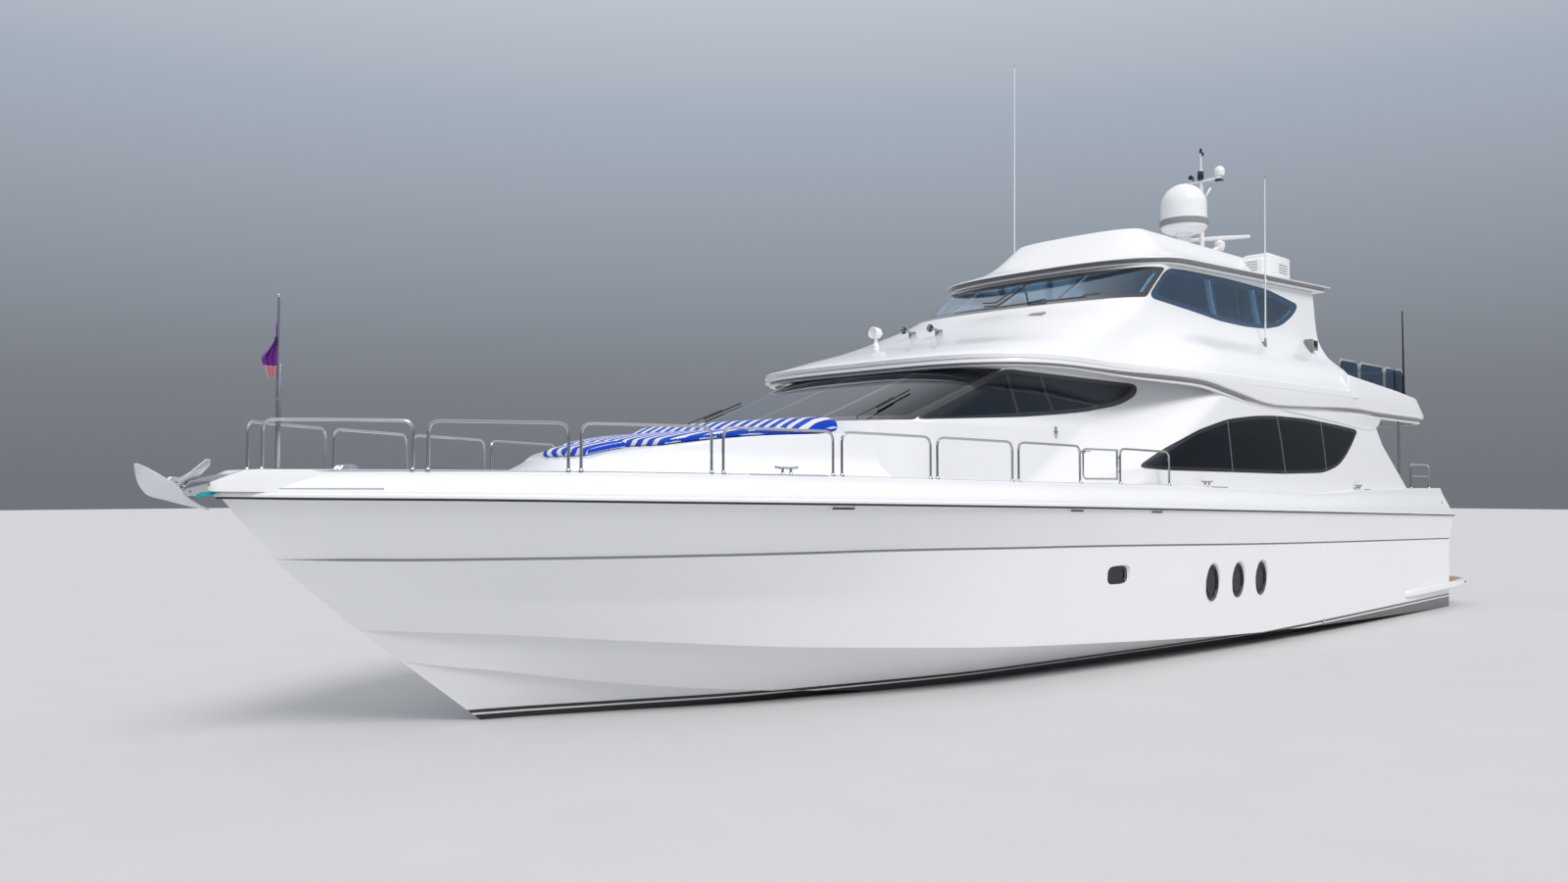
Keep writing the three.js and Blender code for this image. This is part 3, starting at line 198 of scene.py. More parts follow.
class Form:
    """A mesh in the making."""

    def __init__(self) -> None:
        """Start with nothing."""
        self.bm = bmesh.new()

    @classmethod
    def sheet(cls, across: int, along: int, place: Place, paint: Paint | None = None) -> "Form":
        """Lay a grid of cells on a surface.

        Args:
            across: cells in the u direction.
            along: cells in the v direction.
            place: the surface's point for u and v, each from 0 to 1.
            paint: the finish's number for a cell's v.

        Returns:
            The open sheet.
        """
        form = cls()
        bmesh.ops.create_grid(form.bm, x_segments=across, y_segments=along, size=1.0)
        if paint:
            for face in form.bm.faces:
                face.material_index = paint((face.calc_center_median().y + 1) / 2)
        for vertex in form.bm.verts:
            u = round((vertex.co.x + 1) / 2 * across) / across
            v = round((vertex.co.y + 1) / 2 * along) / along
            vertex.co = place(u, v)
        return form

    @classmethod
    def skin(cls, across: int, along: int, place: Place, paint: Paint | None = None) -> "Form":
        """Lay a sheet that meets itself, and close its ends."""
        return cls.sheet(across, along, place, paint).weld().closed()

    @classmethod
    def block(
        cls, low: Sequence[float], high: Sequence[float], radius: float = 0.0, steps: int = 3
    ) -> "Form":
        """Make a box between two corners, with its edges rounded."""
        form = cls()
        bmesh.ops.create_cube(form.bm, size=1.0)
        size = [b - a for a, b in zip(low, high)]
        bmesh.ops.scale(form.bm, vec=size, verts=form.bm.verts)
        middle = [(a + b) / 2 for a, b in zip(low, high)]
        bmesh.ops.translate(form.bm, vec=middle, verts=form.bm.verts)
        return form.eased(radius, steps) if radius else form

    @classmethod
    def prism(cls, outline: Outline, low: float, high: float, axis: str = "Y") -> "Form":
        """Draw an outline and stretch it along an axis.

        Args:
            outline: corners as x and z for axis Y, y and z for X, x and y for Z.
            low: where it starts on the axis.
            high: where it ends.
            axis: X, Y or Z.

        Returns:
            The closed prism.
        """
        spread = {
            "X": lambda a, b, h: (h, a, b),
            "Y": lambda a, b, h: (a, h, b),
            "Z": lambda a, b, h: (a, b, h),
        }[axis]
        form = cls()
        corners = [form.bm.verts.new(spread(a, b, low)) for a, b in outline]
        face = form.bm.faces.new(corners)
        grown = bmesh.ops.extrude_face_region(form.bm, geom=[face])
        moved = [item for item in grown["geom"] if isinstance(item, bmesh.types.BMVert)]
        bmesh.ops.translate(form.bm, vec=spread(0, 0, high - low), verts=moved)
        return form.outward()

    @classmethod
    def turned(cls, profile: Outline, steps: int = 32, centre: Sequence[float] = (0, 0, 0)) -> "Form":
        """Spin a profile of radius and height about the vertical."""
        form = cls()
        points = [form.bm.verts.new((r, 0, z)) for r, z in profile]
        edges = [form.bm.edges.new(pair) for pair in zip(points, points[1:])]
        bmesh.ops.spin(
            form.bm, geom=points + edges, cent=(0, 0, 0), axis=(0, 0, 1), angle=math.tau, steps=steps,
            use_merge=True
        )
        form.weld().closed()
        return form.moved(centre)

    @classmethod
    def rod(cls, start: Sequence[float], end: Sequence[float], radius: float, tip: float | None = None,
            steps: int = 16, ease_by: float = 0.0) -> "Form":
        """Make a round bar from start to end, tapered if a tip radius is given."""
        form = cls()
        a, b = Vector(start), Vector(end)
        bmesh.ops.create_cone(
            form.bm, cap_ends=True, segments=steps, radius1=radius, radius2=radius if tip is None else tip,
            depth=(b - a).length,
        )
        if ease_by:
            form.eased(ease_by, 2, 60.0)
        turn = (b - a).to_track_quat("Z", "Y").to_matrix().to_4x4()
        bmesh.ops.transform(form.bm, matrix=Matrix.Translation((a + b) / 2) @ turn, verts=form.bm.verts)
        return form

    @classmethod
    def post(cls, place: Sequence[float], low: float, high: float, *sizes: float, **more: float) -> "Form":
        """Stand a rod upright over a place, with the sizes that a rod takes."""
        return cls.rod((*place, low), (*place, high), *sizes, **more)

    @classmethod
    def pipe(cls, paths: Sequence[Sequence[Vector]], radius: float, round_steps: int = 3) -> "Form":
        """Make round pipes with closed ends along paths."""
        data = bpy.data.curves.new("pipe", "CURVE")
        data.dimensions = "3D"
        data.bevel_depth = radius
        data.bevel_resolution = round_steps
        data.use_fill_caps = True
        for path in paths:
            spline = data.splines.new("POLY")
            spline.points.add(len(path) - 1)
            for point, place in zip(spline.points, path):
                point.co = (*place, 1.0)
        carrier = bpy.data.objects.new("pipe", data)
        mesh = bpy.data.meshes.new_from_object(carrier)
        form = cls()
        form.bm.from_mesh(mesh)
        bpy.data.objects.remove(carrier)
        bpy.data.curves.remove(data)
        bpy.data.meshes.remove(mesh)
        return form.weld()

    def dressed(self, number: int) -> "Form":
        """Choose one of the piece's finishes for every face."""
        for face in self.bm.faces:
            face.material_index = number
        return self

    def add(self, *others: "Form") -> "Form":
        """Take in other forms as they are."""
        for other in others:
            mesh = bpy.data.meshes.new("taken")
            other.bm.to_mesh(mesh)
            self.bm.from_mesh(mesh)
            bpy.data.meshes.remove(mesh)
        return self

    def copy(self) -> "Form":
        """Return a second form like this one."""
        return Form().add(self)

    def weld(self, distance: float = 1e-5) -> "Form":
        """Merge points that lie together."""
        bmesh.ops.remove_doubles(self.bm, verts=self.bm.verts, dist=distance)
        bmesh.ops.dissolve_degenerate(self.bm, edges=self.bm.edges, dist=distance / 2)
        return self

    def closed(self) -> "Form":
        """Fill every open end and turn the faces out."""
        rims = [edge for edge in self.bm.edges if edge.is_boundary]
        if rims:
            bmesh.ops.holes_fill(self.bm, edges=rims, sides=0)
        return self.outward()

    def outward(self) -> "Form":
        """Turn every face outwards."""
        bmesh.ops.recalc_face_normals(self.bm, faces=self.bm.faces)
        return self

    def moved(self, by: Sequence[float]) -> "Form":
        """Shift the form."""
        bmesh.ops.translate(self.bm, vec=by, verts=self.bm.verts)
        return self

    def turned_by(self, degrees: float, axis: str, centre: Sequence[float] = (0, 0, 0)) -> "Form":
        """Turn the form about an axis through a centre."""
        turn = Matrix.Rotation(math.radians(degrees), 3, axis)
        bmesh.ops.rotate(self.bm, cent=centre, matrix=turn, verts=self.bm.verts)
        return self

    def eased(self, radius: float, steps: int = 2, angle: float = 30.0) -> "Form":
        """Round the edges sharper than an angle."""
        limit = math.radians(angle)
        edges = [e for e in self.bm.edges if e.is_manifold and e.calc_face_angle(0.0) > limit]
        bmesh.ops.bevel(
            self.bm, geom=edges, offset=radius, offset_type="OFFSET", affect="EDGES", segments=steps,
            profile=0.5,
            material=-1, clamp_overlap=True,
        )
        return self

    def sliced(self, point: Sequence[float], normal: Sequence[float]) -> "Form":
        """Cut away what lies beyond a plane, and close the cut."""
        geom = list(self.bm.verts) + list(self.bm.edges) + list(self.bm.faces)
        bmesh.ops.bisect_plane(self.bm, geom=geom, plane_co=point, plane_no=normal, clear_outer=True)
        return self.closed()

    def mirrored(self) -> "Form":
        """Return the same form on the other side of the boat."""
        other = self.copy()
        bmesh.ops.scale(other.bm, vec=(1, -1, 1), verts=other.bm.verts)
        bmesh.ops.reverse_faces(other.bm, faces=other.bm.faces)
        return other

    def both_sides(self) -> "Form":
        """Add the form's own mirror image."""
        return self.add(self.mirrored())

    def carrier(self) -> bpy.types.Object:
        """Put the form in a passing object."""
        mesh = bpy.data.meshes.new("passing")
        self.bm.to_mesh(mesh)
        for _ in range(4):
            mesh.materials.append(None)
        holder = bpy.data.objects.new("passing", mesh)
        bpy.context.scene.collection.objects.link(holder)
        return holder

    def cut(self, tool: "Form", how: Cut = Cut.TAKE) -> "Form":
        """Take away or keep what another closed form covers.

        Args:
            tool: the other form, left as it is.
            how: which of the two.

        Returns:
            This form, changed.
        """
        mine, other = self.carrier(), tool.carrier()
        modifier = mine.modifiers.new("cut", "BOOLEAN")
        modifier.object = other
        modifier.operation = how.value
        modifier.solver = "MANIFOLD"
        graph = bpy.context.evaluated_depsgraph_get()
        result = bpy.data.meshes.new_from_object(mine.evaluated_get(graph))
        before = len(self.bm.faces)
        self.bm.clear()
        self.bm.from_mesh(result)
        if len(self.bm.faces) == before:
            LOG.warning("a cut changed nothing: %s", how)
        for holder in (mine, other):
            mesh = holder.data
            bpy.data.objects.remove(holder)
            bpy.data.meshes.remove(mesh)
        bpy.data.meshes.remove(result)
        return self


# Finishes


class Nodes:
    """Nodes of one tree, with a few short ways to add to them."""

    def __init__(self, tree: bpy.types.NodeTree) -> None:
        """Take hold of a tree."""
        self.nodes, self.links = tree.nodes, tree.links
        self.position: bpy.types.NodeSocket | None = None

    def join(self, value: object, socket: bpy.types.NodeSocket) -> None:
        """Link a changing value to a socket, or set a plain one on it."""
        if isinstance(value, bpy.types.NodeSocket):
            self.links.new(value, socket)
        else:
            socket.default_value = value

    def math(self, kind: str, a: object, b: object = 0.0) -> bpy.types.NodeSocket:
        """Do sums on changing values."""
        node = self.nodes.new("ShaderNodeMath")
        node.operation = kind
        for socket, value in zip(node.inputs, (a, b)):
            self.join(value, socket)
        return node.outputs[0]

    def axes(self) -> bpy.types.bpy_prop_collection:
        """Return the piece's own x, y and z."""
        split = self.nodes.new("ShaderNodeSeparateXYZ")
        self.links.new(self.position, split.inputs[0])
        return split.outputs


class Group(Nodes):
    """A node group for an effect that several finishes share."""

    def __init__(self, name: str, sizes: dict[str, float], results: Sequence[str]) -> None:
        """Open a group that takes a Position and the sizes."""
        self.tree = bpy.data.node_groups.new(name, "ShaderNodeTree")
        super().__init__(self.tree)
        new_socket = self.tree.interface.new_socket
        new_socket("Position", in_out="INPUT", socket_type="NodeSocketVector")
        for key, value in sizes.items():
            new_socket(key, in_out="INPUT", socket_type="NodeSocketFloat").default_value = value
        for key in results:
            kind = "NodeSocketVector" if key == "Normal" else "NodeSocketFloat"
            new_socket(key, in_out="OUTPUT", socket_type=kind)
        self.given = self.nodes.new("NodeGroupInput").outputs
        self.out = self.nodes.new("NodeGroupOutput").inputs
        self.position = self.given["Position"]

    def noise(self, scale: object, detail: float, stretch: Point | None = None) -> bpy.types.NodeSocket:
        """Add a noise, stretched if asked, and return its value."""
        vector = self.position
        if stretch:
            mapping = self.nodes.new("ShaderNodeMapping")
            self.links.new(vector, mapping.inputs["Vector"])
            mapping.inputs["Scale"].default_value = stretch
            vector = mapping.outputs[0]
        node = self.nodes.new("ShaderNodeTexNoise")
        self.links.new(vector, node.inputs["Vector"])
        self.join(scale, node.inputs["Scale"])
        node.inputs["Detail"].default_value = detail
        return node.outputs["Fac"]

    def bump(self, height: bpy.types.NodeSocket, strength: str, distance: float) -> None:
        """Put out a height as a normal."""
        node = self.nodes.new("ShaderNodeBump")
        node.inputs["Distance"].default_value = distance
        self.links.new(height, node.inputs["Height"])
        self.links.new(self.given[strength], node.inputs["Strength"])
        self.links.new(node.outputs[0], self.out["Normal"])


@cache
def polish_group() -> bpy.types.NodeTree:
    """Build the even gloss of moulded or rubbed surfaces: slow haze and a fine ripple."""
    sizes = {"Haze Scale": 0.8, "Ripple Scale": 90.0, "Low": 0.1, "High": 0.2, "Ripple": 0.02}
    group = Group("polish", sizes, ("Mask", "Roughness", "Normal"))
    given = group.given
    haze = group.noise(given["Haze Scale"], 4.0)
    part = group.math("MULTIPLY", haze, group.math("SUBTRACT", given["High"], given["Low"]))
    group.join(haze, group.out["Mask"])
    group.join(group.math("ADD", part, given["Low"]), group.out["Roughness"])
    group.bump(group.noise(given["Ripple Scale"], 1.0), "Ripple", 0.002)
    return group.tree


@cache
def grain_group() -> bpy.types.NodeTree:
    """Build long wood grain with a bump."""
    group = Group("grain", {"Scale": 14.0, "Depth": 0.2}, ("Mask", "Normal"))
    grain = group.noise(group.given["Scale"], 6.0, (0.35, 4.0, 4.0))
    group.join(grain, group.out["Mask"])
    group.bump(grain, "Depth", 0.001)
    return group.tree


@cache
def weave_group() -> bpy.types.NodeTree:
    """Build crossed threads with a bump, for cloth and hide."""
    group = Group("weave", {"Threads": 260.0, "Depth": 0.4}, ("Mask", "Normal"))
    axes = group.axes()
    waves = [group.math("SINE", group.math("MULTIPLY", axes[k], group.given["Threads"])) for k in range(2)]
    fluff = group.noise(55.0, 3.0)
    group.join(fluff, group.out["Mask"])
    group.bump(group.math("ADD", group.math("MULTIPLY", *waves), fluff), "Depth", 0.002)
    return group.tree


@cache
def plank_group() -> bpy.types.NodeTree:
    """Build narrow planks along the boat: seams, and a tone for each plank."""
    group = Group("planking", {"Width": 0.055, "Seam": 0.08}, ("Seam", "Tone"))
    count = group.math("DIVIDE", group.axes()[1], group.given["Width"])
    seam = group.math("LESS_THAN", group.math("FRACT", count), group.given["Seam"])
    random = group.nodes.new("ShaderNodeTexWhiteNoise")
    random.noise_dimensions = "1D"
    group.join(group.math("FLOOR", count), random.inputs["W"])
    group.join(seam, group.out["Seam"])
    group.join(random.outputs["Value"], group.out["Tone"])
    return group.tree


class Shader(Nodes):
    """Nodes of a material with one Principled shader."""

    def __init__(self, name: str) -> None:
        """Start the material."""
        self.material = bpy.data.materials.new(name)
        self.material.use_nodes = True
        super().__init__(self.material.node_tree)
        self.principled = self.nodes["Principled BSDF"]
        self.position = self.nodes.new("ShaderNodeTexCoord").outputs["Object"]

    def set(self, **values: object) -> None:
        """Set plain values, or link changing ones, on the shader's own sockets, named with _ for a space."""
        for key, value in values.items():
            self.join(value, self.principled.inputs[key.replace("_", " ")])

    def group(self, tree: bpy.types.NodeTree, **sizes: float) -> bpy.types.bpy_prop_collection:
        """Place a node group with its own sizes, on the piece's own coordinates, and return its outputs."""
        node = self.nodes.new("ShaderNodeGroup")
        node.node_tree = tree
        self.links.new(self.position, node.inputs["Position"])
        for key, value in sizes.items():
            node.inputs[key.replace("_", " ")].default_value = value
        return node.outputs

    def blend(self, factor: bpy.types.NodeSocket, a: object, b: object) -> bpy.types.NodeSocket:
        """Mix two colours, each plain or changing, by a changing factor."""
        node = self.nodes.new("ShaderNodeMix")
        node.data_type = "RGBA"
        self.links.new(factor, node.inputs["Factor"])
        for socket, value in ((node.inputs[6], a), (node.inputs[7], b)):
            self.join((*value, 1.0) if isinstance(value, tuple) else value, socket)
        return node.outputs[2]

    def value(self, attribute: str) -> bpy.types.NodeSocket:
        """Read a value that the piece's mesh carries."""
        node = self.nodes.new("ShaderNodeAttribute")
        node.attribute_name = attribute
        return node.outputs["Fac"]


def dimmed(colour: Colour, part: float) -> Colour:
    """Return a part of a colour."""
    return tuple(part * value for value in colour)


@dataclass(frozen=True)
class Finish:
    """A smooth hard finish: paint, moulded resin, plastic or metal."""

    name: str
    colour: Colour
    shade: Colour | None = None
    low: float = 0.12
    high: float = 0.2
    metallic: float = 0.0
    coat: float = 0.0
    ripple: float = 0.02
    ripple_scale: float = 90.0
    slot: str = "gelcoat"

    @cache
    def material(self) -> bpy.types.Material:
        """Build the material once."""
        shader = Shader(self.name)
        shader.set(Metallic=self.metallic)
        if self.coat:
            shader.set(Coat_Weight=self.coat, Coat_Roughness=0.04)
        polish = shader.group(
            polish_group(), Low=self.low, High=self.high, Ripple=self.ripple, Ripple_Scale=self.ripple_scale
        )
        shader.set(Roughness=polish["Roughness"], Normal=polish["Normal"])
        self.dress(shader, polish["Mask"])
        return shader.material

    def tones(self, shader: Shader, mask: bpy.types.NodeSocket, part: float = 0.93) -> bpy.types.NodeSocket:
        """Mix the finish's colour with its shade, or with a part of itself."""
        return shader.blend(mask, self.colour, self.shade or dimmed(self.colour, part))

    def dress(self, shader: Shader, haze: bpy.types.NodeSocket) -> None:
        """Give the shader its colour."""
        shader.set(Base_Color=self.tones(shader, haze))


@dataclass(frozen=True)
class Topsides(Finish):
    """Hull paint: pale topsides over a boot stripe and black bottom paint, by height."""

    stripe: float = 0.193
    rise: float = 0.0073
    band: float = 0.04
    line: float = 0.022
    bottom: Colour = (0.012, 0.012, 0.014)
    slot: str = "topsides"

    def dress(self, shader: Shader, haze: bpy.types.NodeSocket) -> None:
        """Give the shader its colours."""
        axes = shader.axes()
        height = shader.math("ADD", axes[2], shader.math("MULTIPLY", axes[0], self.rise))
        under = shader.math("LESS_THAN", height, self.stripe)
        below_band = shader.math("LESS_THAN", height, self.stripe - self.band)
        above_line = shader.math("GREATER_THAN", height, self.stripe - self.band - self.line)
        black = shader.math("SUBTRACT", under, shader.math("MULTIPLY", below_band, above_line))
        shader.set(Base_Color=shader.blend(black, self.tones(shader, haze), self.bottom))


@dataclass(frozen=True)
class Glass(Finish):
    """Tinted glass or clear sheet."""

    ior: float = 1.45
    glint: tuple[float, float, float, float] = (0.62, 0.8, 1.0, 1.0)
    slot: str = "tinted_glass"

    def dress(self, shader: Shader, haze: bpy.types.NodeSocket) -> None:
        """Give the shader its colour and clearness."""
        shader.set(Transmission_Weight=1.0, IOR=self.ior, Specular_Tint=self.glint)
        shader.set(Base_Color=self.tones(shader, haze))


@dataclass(frozen=True)
class Wood(Finish):
    """Varnished veneer."""

    slot: str = "joinery"

    def dress(self, shader: Shader, haze: bpy.types.NodeSocket) -> None:
        """Give the shader its grain."""
        grain = shader.group(grain_group())
        shader.set(Base_Color=self.tones(shader, grain["Mask"]), Normal=grain["Normal"])


@dataclass(frozen=True)
class Planks(Finish):
    """Laid deck planks with dark seams."""

    seam: Colour = (0.02, 0.018, 0.016)
    slot: str = "joinery"

    def dress(self, shader: Shader, haze: bpy.types.NodeSocket) -> None:
        """Give the shader its grain and seams."""
        planks = shader.group(plank_group())
        grain = shader.group(grain_group())
        tone = shader.math("MULTIPLY", planks["Tone"], 0.35)
        aged = shader.blend(tone, self.tones(shader, grain["Mask"]), dimmed(self.colour, 0.6))
        shader.set(Base_Color=shader.blend(planks["Seam"], aged, self.seam), Normal=grain["Normal"])


@dataclass(frozen=True)
class Cloth(Finish):
    """Woven cloth or grained hide in one colour."""

    threads: float = 260.0
    depth: float = 0.4
    slot: str = "upholstery"

    def woven(self, shader: Shader) -> bpy.types.NodeSocket:
        """Give the shader a cloth's sheen and threads, and return their mask."""
        shader.set(Sheen_Weight=0.1, Specular_IOR_Level=0.2)
        weave = shader.group(weave_group(), Threads=self.threads, Depth=self.depth)
        shader.set(Normal=weave["Normal"])
        return weave["Mask"]

    def dress(self, shader: Shader, haze: bpy.types.NodeSocket) -> None:
        """Give the shader its cloth."""
        shader.set(Base_Color=self.tones(shader, self.woven(shader), 0.8))


@dataclass(frozen=True)
class Striped(Cloth):
    """Woven cloth with broad stripes of a second colour along one axis, or by a value of the mesh."""

    second: Colour = (0.8, 0.8, 0.8)
    axis: int = 1
    across: str = ""
    pitch: float = 0.21
    origin: float = 0.0
    part: float = 0.5
    slot: str = "pad_cloth"

    def dress(self, shader: Shader, haze: bpy.types.NodeSocket) -> None:
        """Give the shader its striped cloth."""
        mask = self.woven(shader)
        ground = self.tones(shader, mask, 0.8)
        light = shader.blend(mask, self.second, dimmed(self.second, 0.9))
        place = shader.value(self.across) if self.across else shader.axes()[self.axis]
        count = shader.math("DIVIDE", shader.math("SUBTRACT", place, self.origin), self.pitch)
        striped = shader.math("LESS_THAN", shader.math("FRACT", count), self.part)
        shader.set(Base_Color=shader.blend(striped, ground, light))


GELCOAT = Finish("gelcoat", (0.86, 0.87, 0.885), (0.83, 0.84, 0.86), 0.16, 0.24, coat=0.4, ripple=0.012)
TOPSIDES = Topsides("topsides", (0.87, 0.875, 0.885), (0.84, 0.85, 0.86), 0.16, 0.24, coat=0.5, ripple=0.012)
NON_SKID = Finish("non_skid", (0.72, 0.73, 0.74), None, 0.5, 0.6, ripple=0.6, ripple_scale=220.0)
# Painted shade: a mid grey for the coves under the boat deck's lip and the hardtop's edge, darkening them as
# shade would.
PAINTED_COVE_SHADE = Finish("cove", (0.3, 0.3, 0.31), None, 0.3, 0.4)
NAVY = Finish("navy", (0.008, 0.04, 0.1), None, 0.12, 0.2, coat=0.5)
GREY = Finish("grey", (0.27, 0.29, 0.3), None, 0.3, 0.45, slot="dark_metal")
BLACK = Finish("black", (0.012, 0.013, 0.016), None, 0.12, 0.25, coat=0.5, slot="dark_metal")
RUBBER = Finish("rubber", (0.03, 0.03, 0.032), None, 0.5, 0.7, ripple=0.1, slot="dark_metal")
DARK_GLASS = Finish("dark_glass", (0.008, 0.009, 0.011), None, 0.3, 0.4, slot="tinted_glass")
ANTIFOUL = Finish("antifoul", (0.014, 0.014, 0.016), None, 0.5, 0.7, ripple=0.1, slot="stainless")
STEEL = Finish("steel", (0.56, 0.57, 0.59), (0.5, 0.51, 0.53), 0.1, 0.22, metallic=1.0, slot="stainless")
FORGED = Finish("forged_steel", (0.88, 0.89, 0.92), (0.72, 0.73, 0.77), 0.22, 0.4, metallic=1.0, ripple=0.08,
                ripple_scale=14.0, slot="stainless")
BRONZE = Finish("bronze", (0.60, 0.40, 0.17), (0.42, 0.26, 0.12), 0.25, 0.45, metallic=1.0, ripple=0.1,
                slot="bronze")
TINT = Glass("tint", (0.02, 0.05, 0.09), None, 0.01, 0.03, ripple=0.01, ior=1.5)
BRIDGE_TINT = Glass("bridge_tint", (0.5, 0.74, 0.95), None, 0.01, 0.03, ripple=0.01)
SMOKE = Glass("smoke", (0.07, 0.14, 0.25), None, 0.02, 0.05, slot="smoked_glass")
RED = Glass("red_lens", (0.5, 0.01, 0.01), None, 0.05, 0.1)
GREEN = Glass("green_lens", (0.01, 0.35, 0.08), None, 0.05, 0.1)
TEAK = Planks("teak", (0.42, 0.29, 0.17), (0.30, 0.19, 0.10), 0.55, 0.7)
CHERRY = Wood("cherry", (0.32, 0.13, 0.05), (0.16, 0.06, 0.02), 0.2, 0.3, coat=0.4)
HIDE = Cloth("hide", (0.62, 0.55, 0.44), None, 0.45, 0.6, threads=900.0, depth=0.15)
PAD_BLUE = Cloth("plain_cloth", (0.0, 0.06, 0.6), None, 0.7, 0.85, threads=900.0)
STRIPED = Striped("striped_cloth", (0.0, 0.06, 0.6), None, 0.7, 0.85, threads=900.0, second=(0.8, 0.81, 0.83),
                  across="across", origin=0.05, part=0.45)
PURPLE = Striped("pennant_cloth", (0.16, 0.02, 0.3), None, 0.6, 0.8, threads=1800.0, slot="pennant_cloth",
                 second=(0.6, 0.3, 0.34), axis=2, pitch=2.0, origin=3.5, part=0.095)
TURQUOISE = Cloth("lashing", (0.01, 0.45, 0.5), None, 0.6, 0.8, threads=900.0, slot="pennant_cloth")


def keep(
    name: str,
    form: Form,
    *finishes: Finish,
    node: str = "",
    slot: str = "",
    body: str = ROOT,
    crease: float = 30.0,
    paint: Callable[[bmesh.types.BMFace], int] | None = None,
) -> bpy.types.Object:
    """Make a form into a finished piece of the boat.

    Args:
        name: the piece's name.
        form: its shape, in place.
        finishes: its finish, or several that paint chooses from.
        node: the frame's node that it replaces.
        slot: not used.
        body: the body that it moves with.
        crease: the angle in degrees from which an edge stays sharp.
        paint: the finish's number for a face.

    Returns:
        The new object.
    """
    for face in form.bm.faces:
        face.smooth = True
        if paint:
            face.material_index = paint(face)
    mesh = bpy.data.meshes.new(name)
    form.bm.to_mesh(mesh)
    form.bm.free()
    mesh.set_sharp_from_angle(angle=math.radians(crease))
    for finish in finishes:
        mesh.materials.append(finish.material())
    piece = bpy.data.objects.new(name, mesh)
    bpy.context.scene.collection.objects.link(piece)
    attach(piece, body)
    if node:
        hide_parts(node)
    slot or finishes[0].slot
    LOG.info("%s: %d faces", name, len(mesh.polygons))
    return piece


# Hull


@dataclass(frozen=True)
class Station:
    """Half breadths and heights of the hull's lines at one place along the deck edge."""

    x: float
    deck: tuple[float, float]
    knuckle: tuple[float, float]
    side: tuple[float, float]
    chine: tuple[float, float]
    strake: tuple[float, float]
    keel: float


@dataclass
class Lines:
    """The hull's lines, shared by everything that follows them."""

    stations: tuple[Station, ...] = (
        Station(12.0, (0, 2.45), (0, 1.82), (0, 1.42), (0, 1.08), (0, 0.72), 0.0),
        Station(11.4, (0.58, 2.44), (0.38, 1.81), (0.29, 1.39), (0.22, 1.05), (0.13, 0.66), -0.12),
        Station(10.4, (1.27, 2.43), (0.94, 1.8), (0.71, 1.36), (0.57, 1.0), (0.36, 0.57), -0.36),
        Station(8.6, (2.21, 2.4), (1.82, 1.8), (1.5, 1.33), (1.26, 0.88), (0.82, 0.37), -0.7),
        Station(6.2, (2.95, 2.36), (2.57, 1.8), (2.3, 1.27), (2.06, 0.7), (1.45, 0.14), -1.0),
        Station(3.0, (3.27, 2.3), (3.04, 1.76), (2.94, 1.17), (2.81, 0.5), (1.85, -0.13), -1.13),
        Station(-3.0, (3.27, 2.17), (3.15, 1.62), (3.1, 1.0), (3.03, 0.21), (1.95, -0.3), -1.15),
        Station(-12.0, (3.0, 1.97), (2.9, 1.44), (2.88, 0.8), (2.86, -0.02), (1.75, -0.4), -0.85),
    )
    stem: dict[str, float] = field(
        default_factory=lambda: {
            "deck": 12.0, "knuckle": 11.48, "side": 11.04, "chine": 10.64, "strake": 10.18, "keel": 9.26,
        }
    )
    half_length: float = 12.0
    stem_reach: float = 6.2

    def __post_init__(self) -> None:
        """Draw the curves through the stations."""
        self.breadth: dict[str, Callable[[float], float]] = {"keel": lambda x: 0.0}
        self.height = {"keel": curve([(s.x, s.keel) for s in self.stations])}
        for line in ("deck", "knuckle", "side", "chine", "strake"):
            self.breadth[line] = curve([(s.x, getattr(s, line)[0]) for s in self.stations])
            self.height[line] = curve([(s.x, getattr(s, line)[1]) for s in self.stations])

    def point(self, line: str, x: float, inward: float = 0.0, up: float = 0.0) -> Vector:
        """Return a line's point on the port side, a little inward or up if asked."""
        t = max(0.0, (x - self.stem_reach) / (self.half_length - self.stem_reach))
        back = (self.half_length - self.stem[line]) * t**1.5
        y = self.breadth[line](x)
        taper = min(1.0, y / 0.4)
        return Vector((x - back, y - inward * taper, self.height[line](x) + up * taper))

    def edge(self, x: float, outward: float, z: float) -> Vector:
        """Return a point out from the deck edge, square to it in plan, at a height."""
        step = 0.05
        y = self.breadth["deck"]
        slope = (y(x) - y(x - step)) / step
        normal = Vector((-slope, 1.0)).normalized() if x < self.half_length - 1e-3 else Vector((1.0, 0.0))
        return Vector((x + normal.x * outward, max(y(x) + normal.y * outward, 0.0), z))


LINES = Lines()
CAP_HEIGHT = curve([
    (12.0, 2.68), (9.15, 2.67), (6.6, 2.64), (3.8, 2.59), (0.3, 2.55), (-2.6, 2.5), (-5.05, 2.435),
    (-7.3, 2.49),
    (-12.0, 2.515),
])
TRUNK_TOP = curve([
    (9.7, 2.35), (8.9, 2.6), (8.5, 2.75), (8.24, 2.862), (7.62, 2.985), (6.67, 3.105), (5.98, 3.14),
    (3.5, 3.3),
])


